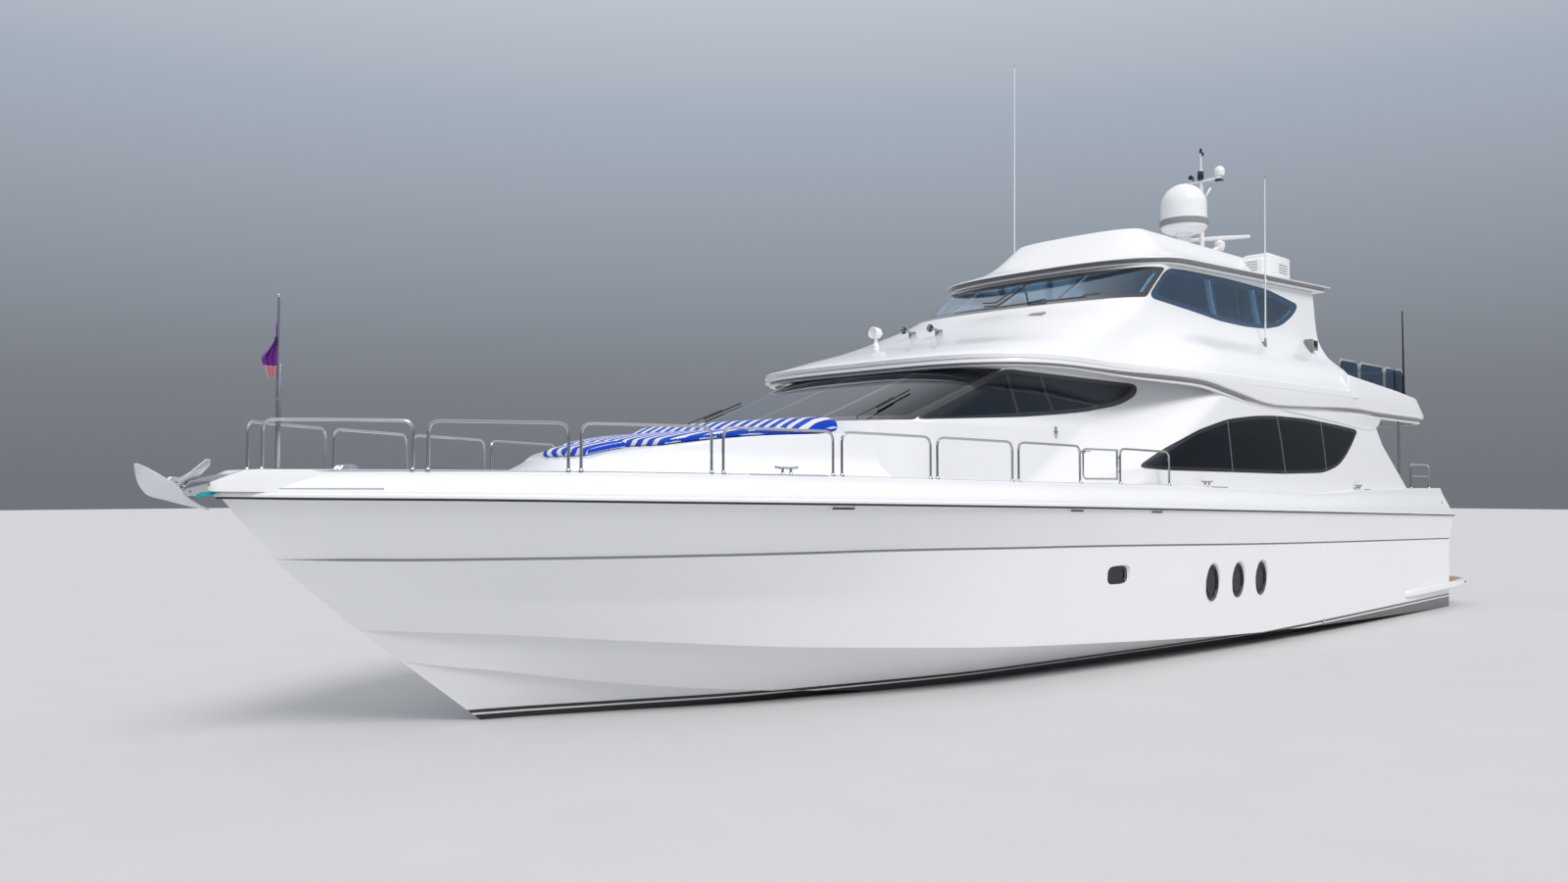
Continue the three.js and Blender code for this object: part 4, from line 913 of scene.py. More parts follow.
@dataclass
class Hull:
    """Hull with its knuckle groove, chine and strake, port lights, deck and rub rail."""

    stations: int = 150
    groove: float = 0.014
    chine_flat: float = 0.07
    strake_flat: float = 0.06
    lights: tuple[tuple[float, float, float, float, float], ...] = (
        (-1.154, 1.1, 0.43, 0.58, 1.0),
        (-1.952, 1.1, 0.43, 0.565, 1.0),
        (-2.719, 1.093, 0.43, 0.57, 1.0),
        (1.392, 1.33, 0.54, 0.26, 0.55),
    )

    def section(self, x: float) -> list[Vector]:
        """Return the port side's section at a station, from the keel up to the middle of the deck."""
        at = LINES.point
        lift = 0.01
        corners = [
            (at("keel", x), 6),
            (at("strake", x, self.strake_flat, lift), 1),
            (at("strake", x), 8),
            (at("chine", x, self.chine_flat, lift), 1),
            (at("chine", x), 8),
            (at("side", x), 8),
            (at("knuckle", x, 0.0, -self.groove), 1),
            (at("knuckle", x, self.groove), 1),
            (at("knuckle", x, 0.0, self.groove), 8),
            (at("deck", x), 8),
            (Vector((x, 0.0, LINES.height["deck"](x))), 0),
        ]
        points = []
        for (here, cells), (there, _) in zip(corners, corners[1:]):
            points += [here.lerp(there, k / cells) for k in range(cells)]
        return points + [corners[-1][0]]

    def place(self, u: float, v: float) -> Vector:
        """Return the hull's point at a part of its length and of its section."""
        x = LINES.half_length * (1.0 - 2.0 * u**1.35)
        points = self.cache.setdefault(x, self.section(x))
        return points[round(v * (len(points) - 1))]

    def light_cutter(self, light: tuple[float, ...], depth: float, grow: float) -> Form:
        """Make the tapered plug that a port light's recess is cut with."""
        x, z, width, height, power = light
        skin = (LINES.breadth["side"](x) + LINES.breadth["knuckle"](x)) / 2
        steps = 48

        def place(u: float, v: float) -> Vector:
            """Return the plug's point round its rim and through its depth."""
            angle = math.tau * u
            across, up = math.cos(angle), math.sin(angle)
            across = math.copysign(abs(across) ** power, across)
            up = math.copysign(abs(up) ** power, up)
            size = 1.0 + (v - 0.25) * grow
            y = skin - depth + v * (depth * 4.0)
            return Vector((x + across * width / 2 * size, y, z + up * height / 2 * size))

        return Form.skin(steps, 1, place)

    def build(self) -> None:
        """Make the hull and everything let into it."""
        self.cache: dict[float, list[Vector]] = {}
        rows = len(self.section(0.0)) - 1
        # Rows 32 and 33 are the knuckle groove's faces; they take GREY as painted shade in the groove.
        half = Form.sheet(self.stations, rows, self.place, lambda v: 2 if int(v * rows) in (32, 33) else 0)
        whole = half.both_sides().weld(2e-5).closed()
        depth = 0.055
        for light in self.lights:
            cutter = self.light_cutter(light, depth, 0.5).both_sides()
            whole.cut(cutter)
        bmesh.ops.dissolve_degenerate(whole.bm, edges=whole.bm.edges, dist=1e-5)
        keep(
            "hull_shell", whole, TOPSIDES, TEAK, GREY, NON_SKID, node="hull", crease=12.0,
            paint=self.deck_paint,
        )
        self.build_lights(depth)
        self.build_rub_rail()

    @staticmethod
    def deck_paint(face: bmesh.types.BMFace) -> int:
        """Choose planks for the cockpit's deck and non-skid for the rest of the deck."""
        centre = face.calc_center_median()
        if face.normal.z < 0.9 or centre.z < 1.9:
            return face.material_index
        return 1 if centre.x < -7.4 else 3

    def build_lights(self, depth: float) -> None:
        """Glaze the port lights."""
        glass, rims = Form(), Form()
        for x, z, width, height, power in self.lights:
            skin = (LINES.breadth["side"](x) + LINES.breadth["knuckle"](x)) / 2 - depth
            steps = 40
            ring = []
            for k in range(steps):
                angle = math.tau * k / steps
                across, up = math.cos(angle), math.sin(angle)
                ring.append((
                    math.copysign(abs(across) ** power, across) * width / 2,
                    math.copysign(abs(up) ** power, up) * height / 2,
                ))
            shrink = 0.9
            pane = [(x + a * shrink, z + b * shrink) for a, b in ring]
            glass.add(Form.prism(pane, skin - 0.002, skin + 0.006))
            for size, out in ((0.93, 0.012), (0.72, 0.012)):
                path = [Vector((x + a * size, skin + out, z + b * size)) for a, b in ring]
                rims.add(Form.pipe([path + [path[0], path[1]]], 0.011 if size > 0.9 else 0.007, 2))
        keep("port_light_glass", glass.both_sides(), DARK_GLASS)
        keep("port_light_rims", rims.both_sides(), BLACK, crease=60.0)

    def build_rub_rail(self) -> None:
        """Run the rub rail round the deck edge."""
        low, high = -0.046, 0.022
        section = [
            (-0.005, high), (0.018, high), (0.027, 0.012), (0.036, 0.006), (0.038, -0.006), (0.036, -0.018),
            (0.027, -0.024), (0.018, -0.034), (0.012, low), (-0.005, low),
        ]
        steps = 200

        def place(u: float, v: float) -> Vector:
            """Return the rail's point round its section and along the deck edge."""
            out, up = section[round(u * len(section)) % len(section)]
            x = LINES.half_length * (1.0 - 2.0 * v**1.35)
            return LINES.edge(x, out, LINES.height["deck"](x) + up)

        rail = Form.skin(len(section), steps, place).both_sides()
        # The rail's lower lip takes the black rubber finish as painted shadow: the dark line under the rail.
        keep(
            "rub_rail_strip", rail, GELCOAT, RUBBER, node="rub_rail", crease=40.0,
            paint=lambda face: int(self.is_low(face)),
        )

    @staticmethod
    def is_low(face: bmesh.types.BMFace) -> bool:
        """Tell whether a face of the rub rail is on its lower lip, painted black as shadow under the rail."""
        centre = face.calc_center_median()
        return centre.z < LINES.height["deck"](min(centre.x, 12.0)) - 0.026


# Houses


@dataclass(frozen=True)
class Level:
    """Half plan of a house at one height."""

    z: float
    nose: float
    corner: float
    breadth: float
    flare_from: float
    flare_to: float
    wide: float
    aft: float
    blunt: float = 2.7
    tilt: float = 0.0


@dataclass
class House:
    """A house's outer surface, from a few levels."""

    levels: tuple[Level, ...]
    straight: bool = False
    front_cells: int = 44
    flare_cells: int = 22
    side_cells: int = 22
    back_cells: int = 16
    tilt_origin: float = -0.86
    turn: float = 0.0
    along: float = 0.62

    def __post_init__(self) -> None:
        """Draw a curve through each measure of the levels."""
        self.measure = {}
        for name in Level.__dataclass_fields__:
            if name == "z":
                continue
            rows = [(level.z, getattr(level, name)) for level in self.levels]
            self.measure[name] = self.line(rows) if self.straight else curve(rows)
        self.cache: dict[float, dict[str, float]] = {}

    @staticmethod
    def line(rows: Sequence[tuple[float, float]]) -> Callable[[float], float]:
        """Make straight runs through rows."""

        def value(z: float) -> float:
            """Return the value at z."""
            for (za, a), (zb, b) in zip(rows, rows[1:]):
                if z <= zb:
                    break
            return mix(a, b, (z - za) / (zb - za))

        return value

    def at(self, z: float) -> dict[str, float]:
        """Return every measure at a height."""
        if z not in self.cache:
            self.cache[z] = {name: rule(z) for name, rule in self.measure.items()}
        return self.cache[z]

    def half(self, z: float, t: float, inset: float = 0.0) -> tuple[float, float]:
        """Return x and y on the port side, t from 0 at the nose to 1 at the aft end."""
        m = self.at(z)
        front = self.front_cells / (self.front_cells + self.flare_cells + self.side_cells)
        flare = self.flare_cells / (self.front_cells + self.flare_cells + self.side_cells)
        breadth = m["breadth"] - inset
        if t <= front + 1e-9:
            angle = min(t / front, 1.0) * math.pi / 2
            power = 2 / m["blunt"]
            ahead = max(math.cos(angle), 0.0) ** power if t < front - 1e-9 else 0.0
            return mix(m["corner"], m["nose"] - inset, ahead), breadth * math.sin(angle) ** power
        if t <= front + flare + 1e-9:
            part = (t - front) / flare
            x = mix(min(m["flare_from"], m["corner"]), m["flare_to"], part)
            from_x, to_x = m["flare_from"], m["flare_to"]
            return x, mix(m["breadth"], m["wide"], ease((x - from_x) / (to_x - from_x))) - inset
        part = (t - front - flare) / (1 - front - flare)
        if not self.turn:
            return mix(m["flare_to"], m["aft"] + inset, part), m["wide"] - inset
        if part <= self.along:
            return mix(m["flare_to"], m["aft"] + self.turn, part / self.along), m["wide"] - inset
        angle = (part - self.along) / (1 - self.along) * math.pi / 2
        r = self.turn - inset
        return m["aft"] + self.turn - r * math.sin(angle), m["wide"] - self.turn + r * math.cos(angle)

    def surface(self, u: float, z: float, inset: float = 0.0) -> Vector:
        """Return the point at u round the plan, from starboard aft by the nose to port aft and back."""
        half = self.front_cells + self.flare_cells + self.side_cells
        loop = 2 * half + self.back_cells
        k = u * loop
        if k <= 2 * half + 1e-6:
            t = min(abs(k - half) / half, 1.0)
            x, y = self.half(z, t, inset)
            y = y if k >= half else -y
        else:
            x, y = self.half(z, 1.0, inset)
            y = mix(y, -y, (k - 2 * half) / self.back_cells)
        return Vector((x, y, z + self.at(z)["tilt"] * (self.tilt_origin - x)))

    def solid(self, heights: Sequence[float], inset: float | Callable[[float], float] = 0.0,
              paint: Paint | None = None) -> Form:
        """Make the house as one closed form through the given heights.

        Args:
            heights: its rows.
            inset: how far in from the surface, or a rule for each height.
            paint: the finish's number for a height.

        Returns:
            The closed form.
        """
        loop = 2 * (self.front_cells + self.flare_cells + self.side_cells) + self.back_cells
        rows = len(heights) - 1

        def place(u: float, v: float) -> Vector:
            """Return the point at u round the plan and at a row."""
            z = heights[round(v * rows)]
            return self.surface(u, z, inset(z) if callable(inset) else inset)

        return Form.skin(
            loop, rows, place, (lambda v: paint(mix(*heights[int(v * rows):][:2], 0.5))) if paint else None
        )


def steps(low: float, high: float, count: int) -> list[float]:
    """Return count + 1 even steps from low to high."""
    return [mix(low, high, k / count) for k in range(count + 1)]


@dataclass(frozen=True)
class Window:
    """One window let into a house: its outline in side view and where it lies across the boat."""

    name: str
    outline: Outline
    low: float
    high: float
    radius: float = 0.25
    frame: float = 0.045

    def shape(self, grow: float = 0.0) -> Form:
        """Make the window's prism across the boat."""
        return Form.prism(rounded(offset(self.outline, grow), self.radius), self.low, self.high)


def slanted(x: float, lean: float, width: float) -> Form:
    """Make a slanted slab across the boat, for a window's bars, from z = 2 to z = 7."""
    return Form.prism([(x, 2.0), (x + width, 2.0), (x + width + lean, 7.0), (x + lean, 7.0)], -4.0, 4.0)


@dataclass
class Bulwark:
    """Bulwark with its cap, the blunt nose at the bow and the transom with its gateway."""

    lean: float = 0.1
    cap: float = 0.14
    round: float = 0.022
    aft: float = -11.97
    wide_inner: float = 2.88
    cockpit_inner: float = 2.75

    def inner(self, x: float) -> float:
        """Return how far the cap reaches in from its outer edge."""
        breadth = LINES.breadth["deck"](x) - self.lean
        to_house = mix(self.cap, breadth - self.wide_inner, ease((0.6 - x) / 2.2))
        return mix(to_house, breadth - self.cockpit_inner, ease((-7.6 - x) / 0.6))

    def section(self, x: float) -> list[tuple[float, float]]:
        """Return the bulwark's section as distance out from the deck edge and height."""
        deck = LINES.height["deck"](x)
        top = CAP_HEIGHT(x)
        width = self.inner(x)
        r = self.round
        outer = [(-0.012 - 0.088 * ease(t), mix(deck + 0.015, top - r, t)) for t in steps(0.0, 1.0, 8)]
        arc = [
            (-self.lean - r + r * math.cos(a), top - r + r * math.sin(a)) for a in steps(0.0, math.pi / 2, 5)
        ]
        far = -self.lean - width + r
        back = [(far - r * math.sin(a), top - r + r * math.cos(a)) for a in steps(0.0, math.pi / 2, 4)]
        return outer[:-1] + arc + back + [(far - r, deck - 0.05), (-0.012, deck - 0.05)]

    def build(self) -> None:
        """Make the bulwark."""
        count = len(self.section(0.0))
        rows = 190
        forward = 11.75

        def place(u: float, v: float) -> Vector:
            """Return the point round the section and along the deck edge."""
            x = mix(-LINES.half_length, forward, 1.0 - v**1.3)
            out, z = self.section(x)[round(u * count) % count]
            return LINES.edge(x, out, z)

        side = Form.skin(count, rows, place)
        low = Vector((self.aft, 0, 1.9))
        side.sliced(low, Vector((-1.0, 0.0, 0.82)).normalized())
        transom = [
            (-11.92, 1.95), (-11.955, 2.0), (-11.54, 2.495), (-11.50, 2.512), (-10.96, 2.512), (-10.96, 1.95)
        ]
        blocks = Form.prism(transom, -1.6, 2.78).add(Form.prism(transom, -2.78, -2.25))
        whole = side.both_sides().add(blocks.eased(0.015, 3, 40.0))
        keep("bulwark_sides", whole.add(self.nose()), GELCOAT, node="bulwark", crease=35.0)

    def nose(self) -> Form:
        """Make the blunt nose that carries the anchor roller."""
        profile = [
            (11.2, 2.46), (12.10, 2.475), (12.135, 2.5), (12.13, 2.55), (11.85, 2.675), (11.75, 2.682),
            (11.2, 2.682)
        ]
        nose = Form.prism(profile, -0.7, 0.7)
        plan = [(11.0, -0.72), (11.55, -0.40), (11.95, -0.24), (12.10, -0.17), (12.135, 0.0)]
        plan += [(x, -y) for x, y in reversed(plan[:-1])]
        return nose.cut(Form.prism(rounded(plan, 0.12), 2.0, 3.0, "Z"), Cut.KEEP).cut(
            Form.block((11.13, -0.115, 2.52), (13.0, 0.115, 3.2))
        ).eased(0.012, 3, 35.0)


@dataclass
class GlassHouse:
    """What the two houses share: a hollow shell with a rebate, a hole and a flush pane for each window."""

    levels: tuple[Level, ...] = ()
    straight: bool = False
    bulkhead: float = 0.0
    rebate: float = 0.012
    wall: float = 0.09
    gap: float = 0.004
    seal: float = 0.012
    beyond: float = 0.1

    def start(self, heights: list[float], cavity: Sequence[float]) -> Form:
        """Draw the house through its heights and return its shell, hollow between the cavity's heights."""
        self.heights = heights
        self.house = House(self.levels, self.straight)
        self.envelope = self.house.solid(heights)
        back = self.bulkhead - self.wall
        room = House(tuple(replace(level, aft=back) for level in self.levels), self.straight)
        return self.envelope.copy().cut(room.solid(cavity, self.wall))

    def core(self, inset: float) -> Form:
        """Return what lies inside the surface by an inset."""
        return self.house.solid(
            [self.heights[0] - self.beyond, *self.heights, self.heights[-1] + self.beyond], inset
        )

    def let_in(self, shell: Form, windows: Sequence[Window], bars: Sequence[Sequence[Form]]) -> Form:
        """Give the shell a rebate and a hole for each window, its bars left standing."""
        seat = self.core(self.rebate)
        for window, standing in zip(windows, bars):
            shell.cut(window.shape(self.gap).cut(seat))
            hole = window.shape(-window.frame)
            for bar in standing:
                hole.cut(bar)
            shell.cut(hole)
        return shell

    def glazed(self, window: Window, bars: Sequence[Form]) -> Form:
        """Make a window's flush pane, as thick as its rebate, its rim and bars in the second finish."""
        pane = self.envelope.copy().cut(window.shape(), Cut.KEEP).cut(self.core(self.rebate - 0.001))
        clear = -window.frame - self.seal
        rim = pane.copy().cut(window.shape(clear))
        pane.cut(window.shape(clear), Cut.KEEP)
        for bar in bars:
            rim.add(pane.copy().cut(bar, Cut.KEEP))
            pane.cut(bar)
        return pane.add(rim.dressed(1))


@dataclass
class MainHouse(GlassHouse):
    """Main deck house with the windscreen, side windows and saloon windows."""

    straight: bool = True
    bulkhead: float = -7.45
    top: float = 4.168
    levels: tuple[Level, ...] = (
        Level(1.85, 5.6, 4.3, 2.3, 3.9, 1.8, 2.96, -10.4),
        Level(3.33, 5.45, 4.1, 2.24, 1.25, -0.95, 2.93, -8.3),
        Level(4.27, 2.95, 1.95, 2.06, -0.6, -2.6, 2.88, -7.56),
    )
    windscreen: Outline = ((6.2, 3.33), (4.605, 3.35), (2.626, 4.12), (6.2, 4.12))
    side: Outline = (
        (4.6, 3.35), (2.44, 3.47), (1.46, 3.55), (0.76, 3.62), (0.02, 3.74), (-0.37, 3.88), (-0.57, 4.01),
        (-0.61, 4.11), (2.62, 4.12),
    )
    saloon: Outline = (
        (0.58, 2.795), (-0.12, 3.08), (-1.05, 3.38), (-2.05, 3.59), (-3.0, 3.68), (-3.71, 3.712),
        (-4.92, 3.712),
        (-6.24, 3.65), (-7.16, 3.59), (-6.99, 3.44), (-6.62, 3.14), (-6.2, 2.91), (-5.53, 2.78),
        (-3.96, 2.75),
        (-0.1, 2.77),
    )
    brow: Outline = (
        (-3.9, 3.83), (-4.5, 3.79), (-5.4, 3.745), (-6.3, 3.69), (-7.14, 3.625), (-7.55, 3.603),
        (-7.82, 3.61),
        (-8.03, 3.655), (-8.16, 3.73), (-8.24, 3.81), (-8.26, 3.875), (-7.0, 3.885), (-4.9, 3.835),
    )

    def build(self) -> None:
        """Make the house, its glass and its bars."""
        heights = steps(1.96, 3.24, 8) + steps(3.27, 3.39, 4) + steps(3.42, self.top, 14)
        shell = self.start(heights, steps(1.9, 4.3, 10))
        back = self.bulkhead - self.wall
        shell.cut(Form.block((-14.0, -2.79, 1.0), (back, 2.79, 5.0)))
        shell.cut(Form.block((back - 0.2, -0.48, 1.9), (self.bulkhead + 0.2, 0.48, 3.96)))
        windows = [
            Window("main_windscreen", self.windscreen, -4.0, 4.0, 0.05),
            Window("main_side_glass_port", self.side, 1.5, 4.0, 0.2),
            Window("main_side_glass_starboard", self.side, -4.0, -1.5, 0.2),
            Window("saloon_glass_port", self.saloon, 2.0, 4.0, 0.25),
            Window("saloon_glass_starboard", self.saloon, -4.0, -2.0, 0.25),
        ]
        bars = [slanted(-5.833, 0.912, 0.035), slanted(-4.216, 1.208, 0.035), slanted(-2.261, 0.695, 0.035)]
        posts = [slanted(2.141, 1.032, 0.06), slanted(1.106, 1.636, 0.06)]
        middle = [Form.block((2.6, y - 0.04, 3.0), (7.0, y + 0.04, 4.4)) for y in (-1.15, 0.0, 1.15)]
        behind = [slanted(2.156, 1.032, 0.03), slanted(1.121, 1.636, 0.03)]
        standing = (middle, behind, behind, bars, bars)
        keep(
            "main_house_shell", self.let_in(shell, windows, standing), GELCOAT, node="main_house", crease=28.0
        )
        for window, dark in zip(windows, (middle, posts, posts, [], [])):
            keep(window.name + "_pane", self.glazed(window, dark), TINT, BLACK, node=window.name, crease=28.0)
        strips = Form()
        for window in windows[3:]:
            for bar in bars:
                strip = self.house.solid(heights, -0.006).cut(bar, Cut.KEEP).cut(
                    window.shape(-0.004), Cut.KEEP
                )
                strips.add(strip.cut(self.house.solid([1.8, *heights, 4.3], 0.002)))
        keep("saloon_window_bars", strips, STEEL)
        brow = Form.prism(self.brow, 2.78, 2.93).eased(0.018, 4, 50.0)
        keep("saloon_brow", brow.both_sides(), GELCOAT, crease=40.0)


@dataclass
class Trunk:
    """Raised trunk on the foredeck, which carries the sun pads."""

    levels: tuple[Level, ...] = (
        Level(1.85, 9.65, 5.4, 2.25, 5.2, 4.6, 2.25, 4.0, 2.0),
        Level(2.45, 9.35, 5.3, 2.2, 5.1, 4.6, 2.2, 4.0, 2.0),
        Level(2.87, 8.5, 5.2, 1.96, 5.0, 4.6, 2.0, 4.0, 2.0),
        Level(3.5, 8.35, 5.2, 1.9, 5.0, 4.6, 1.9, 4.0, 2.0),
    )

    def build(self) -> None:
        """Make the trunk."""
        house = House(self.levels, front_cells=60)
        body = house.solid(steps(2.25, 3.4, 22))

        def under(u: float, v: float) -> Vector:
            """Return the point on the cutter that shapes the trunk's top."""
            x = mix(3.6, 9.75, v)
            top = TRUNK_TOP(x)
            y, z = [(-3.0, top), (3.0, top), (3.0, 4.0), (-3.0, 4.0)][round(u * 4) % 4]
            return Vector((x, y, z))

        body.cut(Form.skin(4, 60, under))
        keep("trunk_moulding", body.eased(0.03, 3, 35.0), GELCOAT, node="foredeck_trunk", crease=40.0)


@dataclass
class BoatDeck:
    """Boat deck: the lip that hangs from its edge, its soffit and the coaming round its open part."""

    lip: float = 0.07
    sole: float = 4.3
    soffit: float = 4.17
    levels: tuple[Level, ...] = (
        Level(3.7, 3.37, 1.5, 2.7, 1.2, -1.9, 2.95, -10.98, 3.3),
        Level(4.0, 3.41, 1.5, 2.723, 1.2, -1.9, 2.973, -11.05, 3.3),
        Level(4.22, 3.44, 1.5, 2.74, 1.2, -1.9, 2.99, -10.75, 3.3),
        Level(5.0, 3.44, 1.5, 2.7, 1.2, -1.9, 2.88, -9.65, 3.3),
    )
    turn: float = 0.75
    low_rows: tuple[tuple[float, float], ...] = (
        (3.6, 4.22), (1.7, 4.215), (0.3, 4.185), (-1.1, 4.16), (-2.2, 4.04), (-3.7, 3.89), (-4.9, 3.92),
        (-7.0, 3.98),
        (-8.2, 3.95), (-11.05, 3.925),
    )
    high_rows: tuple[tuple[float, float], ...] = (
        (-5.0, 5.0), (-5.9, 4.73), (-7.1, 4.61), (-8.25, 4.52), (-9.55, 4.42), (-10.45, 4.33), (-11.05, 4.31),
    )

    def build(self) -> None:
        """Make the band, the deck plate and the coaming."""
        house = House(self.levels, straight=True, side_cells=38, turn=self.turn)
        low, high = curve(self.low_rows), curve(self.high_rows)
        loop = 2 * (house.front_cells + house.flare_cells + house.side_cells) + house.back_cells
        section = self.section()
        count = len(section)

        def place(u: float, v: float) -> Vector:
            """Return the band's point round the plan and round its section."""
            inset, base, up = section[round(v * count) % count]
            probe = house.surface(u, self.levels[1].z)
            heights = {"low": low(probe.x), "sole": self.sole, "top": self.top_of(high, probe.x)}
            z = heights[base] + up
            return house.surface(u, z, inset)

        # Rows 10 to 13, the cove under the lip, take the second finish: painted shade.
        band = Form.sheet(loop, count, place, lambda v: int(10 <= int(v * count) <= 13)).weld().outward()
        keep("boat_deck_band", band, GELCOAT, PAINTED_COVE_SHADE, node="boat_deck", crease=35.0)
        plate = house.solid([self.soffit, self.sole + 0.002], 0.05)
        keep(
            "boat_deck_plate", plate, GELCOAT, NON_SKID, crease=35.0,
            paint=lambda face: int(face.normal.z > 0.9)
        )

    def top_of(self, high: Callable[[float], float], x: float) -> float:
        """Return the coaming's height at a place, or the sole's under the upper house."""
        if x > -6.9:
            return self.sole
        return max(high(x), 4.06)

    def section(self) -> list[tuple[float, str, float]]:
        """Return the band's section: inset, what its height is counted from, and the height over that."""
        inner = 0.13
        return [
            (0.0, "top", -0.03), (0.004, "top", -0.012), (0.016, "top", 0.0), (inner - 0.016, "top", 0.0),
            (inner, "top", -0.016), (inner, "low", -0.02), (inner, "low", -0.1), (self.lip, "low", -0.1),
            (self.lip - 0.016, "low", -0.096), (self.lip - 0.02, "low", -0.082),
            (self.lip - 0.008, "low", -0.07),
            (self.lip, "low", -0.05), (self.lip - 0.004, "low", -0.03), (self.lip - 0.02, "low", -0.014),
            (0.028, "low", -0.004), (0.01, "low", 0.0), (0.0, "low", 0.014), (0.0, "low", 0.06),
        ]


@dataclass
class UpperHouse(GlassHouse):
    """Upper house: the brow over the main windscreen, the bridge windows and the after legs of the roof."""

    bulkhead: float = -6.48
    rebate: float = 0.014
    floor: float = 4.294
    levels: tuple[Level, ...] = (
        Level(4.16, 3.44, 1.5, 2.735, 1.2, -1.9, 2.985, -7.1, 3.3),
        Level(4.25, 3.42, 1.5, 2.725, 1.2, -1.9, 2.97, -7.1, 3.3),
        Level(4.45, 2.9, 1.1, 2.6, 0.8, -1.9, 2.9, -7.1, 3.1),
        Level(4.68, 2.05, 0.5, 2.48, 0.2, -2.1, 2.74, -7.1, 2.9),
        Level(5.0, 1.1, -0.2, 2.36, -0.6, -2.3, 2.4, -7.1),
        Level(5.37, 0.16, -1.0, 2.23, -1.5, -3.0, 2.23, -7.1),
        Level(6.06, -1.04, -1.7, 2.15, -2.0, -3.2, 2.15, -7.1, tilt=0.031),
    )
    windscreen: Outline = ((0.9, 5.38), (0.14, 5.385), (-0.9, 5.475), (-1.56, 6.02), (0.9, 6.01))
    side: Outline = (
        (-0.94, 5.475), (-2.3, 5.39), (-3.2, 5.315), (-4.1, 5.305), (-4.9, 5.345), (-5.55, 5.455),
        (-6.1, 5.685),
        (-6.43, 5.935), (-5.15, 6.085), (-3.65, 6.095), (-2.3, 6.065), (-1.6, 6.02),
    )

    def build(self) -> None:
        """Make the house, its glass and its frames."""
        heights = steps(4.172, 5.37, 22) + steps(5.43, 6.058, 10)
        shell = self.start(heights, steps(self.floor, 6.058, 14) + [6.4])
        back = self.bulkhead - self.wall
        shell.cut(Form.block((-8.0, -2.04, self.floor), (back, 2.04, 7.0)))
        shell.cut(Form.block((back - 0.2, -0.43, self.floor), (self.bulkhead + 0.2, 0.43, 6.08)))
        windows = [
            Window("bridge_windscreen", self.windscreen, -4.0, 4.0, 0.08, 0.06),
            Window("bridge_side_glass_port", self.side, 1.5, 4.0, 0.22, 0.07),
            Window("bridge_side_glass_starboard", self.side, -4.0, -1.5, 0.22, 0.07),
        ]
        posts = [slanted(-3.663, 0.705, 0.075), slanted(-5.471, 0.964, 0.075)]
        behind = [slanted(-3.663, 0.705, 0.12), slanted(-5.471, 0.964, 0.12)]
        middle = [Form.block((-2.0, y - 0.035, 5.2), (1.5, y + 0.035, 6.3)) for y in (-1.08, 0.0, 1.08)]
        self.let_in(shell, windows, (middle, behind, behind))
        keep("upper_house_shell", shell, GELCOAT, node="upper_house", crease=28.0)
        for window, dark, rim in zip(windows, (middle, posts, posts), (BLACK, NAVY, NAVY)):
            pane = self.glazed(window, dark)
            keep(window.name + "_pane", pane, BRIDGE_TINT, rim, node=window.name, crease=28.0)


@dataclass
class Hardtop:
    """Hardtop over the bridge."""

    levels: tuple[Level, ...] = (
        Level(6.06, -0.86, -2.1, 2.3, -2.4, -3.3, 2.3, -7.43, tilt=0.031),
        Level(6.15, -0.84, -2.1, 2.34, -2.4, -3.3, 2.34, -7.48, tilt=0.031),
        Level(6.26, -1.15, -2.3, 2.12, -2.6, -3.4, 2.12, -7.4, tilt=0.02),
        Level(6.4, -1.45, -2.4, 1.8, -2.7, -3.5, 1.8, -7.2),
        Level(6.92, -2.1, -2.5, 1.25, -2.8, -3.5, 1.25, -6.2),
    )

    cove: tuple[tuple[float, float], ...] = (
        (6.062, 0.05), (6.08, 0.046), (6.09, 0.056), (6.1, 0.07), (6.115, 0.075), (6.13, 0.06), (6.14, 0.035),
        (6.147, 0.01), (6.155, 0.0),
    )

    def build(self) -> None:
        """Make the roof with the cove under its edge."""
        house = House(self.levels)
        heights = steps(6.062, 6.16, 14) + steps(6.172, 6.92, 36)
        # Heights in the cove under the roof's edge take the second finish: painted shade.
        roof = house.solid(heights, curve(self.cove), lambda z: int(6.088 < z < 6.144))
        keep("hardtop_moulding", roof, GELCOAT, PAINTED_COVE_SHADE, node="hardtop", crease=35.0)


# Rails


def tube(points: Sequence[Point], radius: float, bend: float = 0.0, sides: int = 2) -> Form:
    """Make one round pipe through points, with its corners bent."""
    path = [Vector(point) for point in points]
    return Form.pipe([bent(path, bend) if bend else path], radius, sides)


def foot(place: Sequence[float], radius: float) -> Form:
    """Make the flange that a pipe stands on."""
    profile = [(0, 0), (2.1, 0), (2.1, 0.3), (1.5, 0.6), (1.15, 1.2), (1.02, 2.0), (0, 2.0)]
    return Form.turned([(r * radius, z * radius) for r, z in profile], 16, place)


def ball(place: Sequence[float], radius: float) -> Form:
    """Make a ball."""
    form = Form()
    bmesh.ops.create_uvsphere(form.bm, u_segments=20, v_segments=12, radius=radius)
    return form.moved(place)


def keep_pair(
    stem: str, form: Form, *finishes: Finish, node: str = "", body: str = ROOT, crease: float = 30.0
) -> None:
    """Make a port form and its mirror image into two pieces, each named and placed for its side."""
    for side, made in (("port", form.copy()), ("starboard", form.mirrored())):
        keep(
            f"{stem}_{side}", made, *finishes, node=f"{node}_{side}" if node else "",
            body=body.format(side), crease=crease,
        )


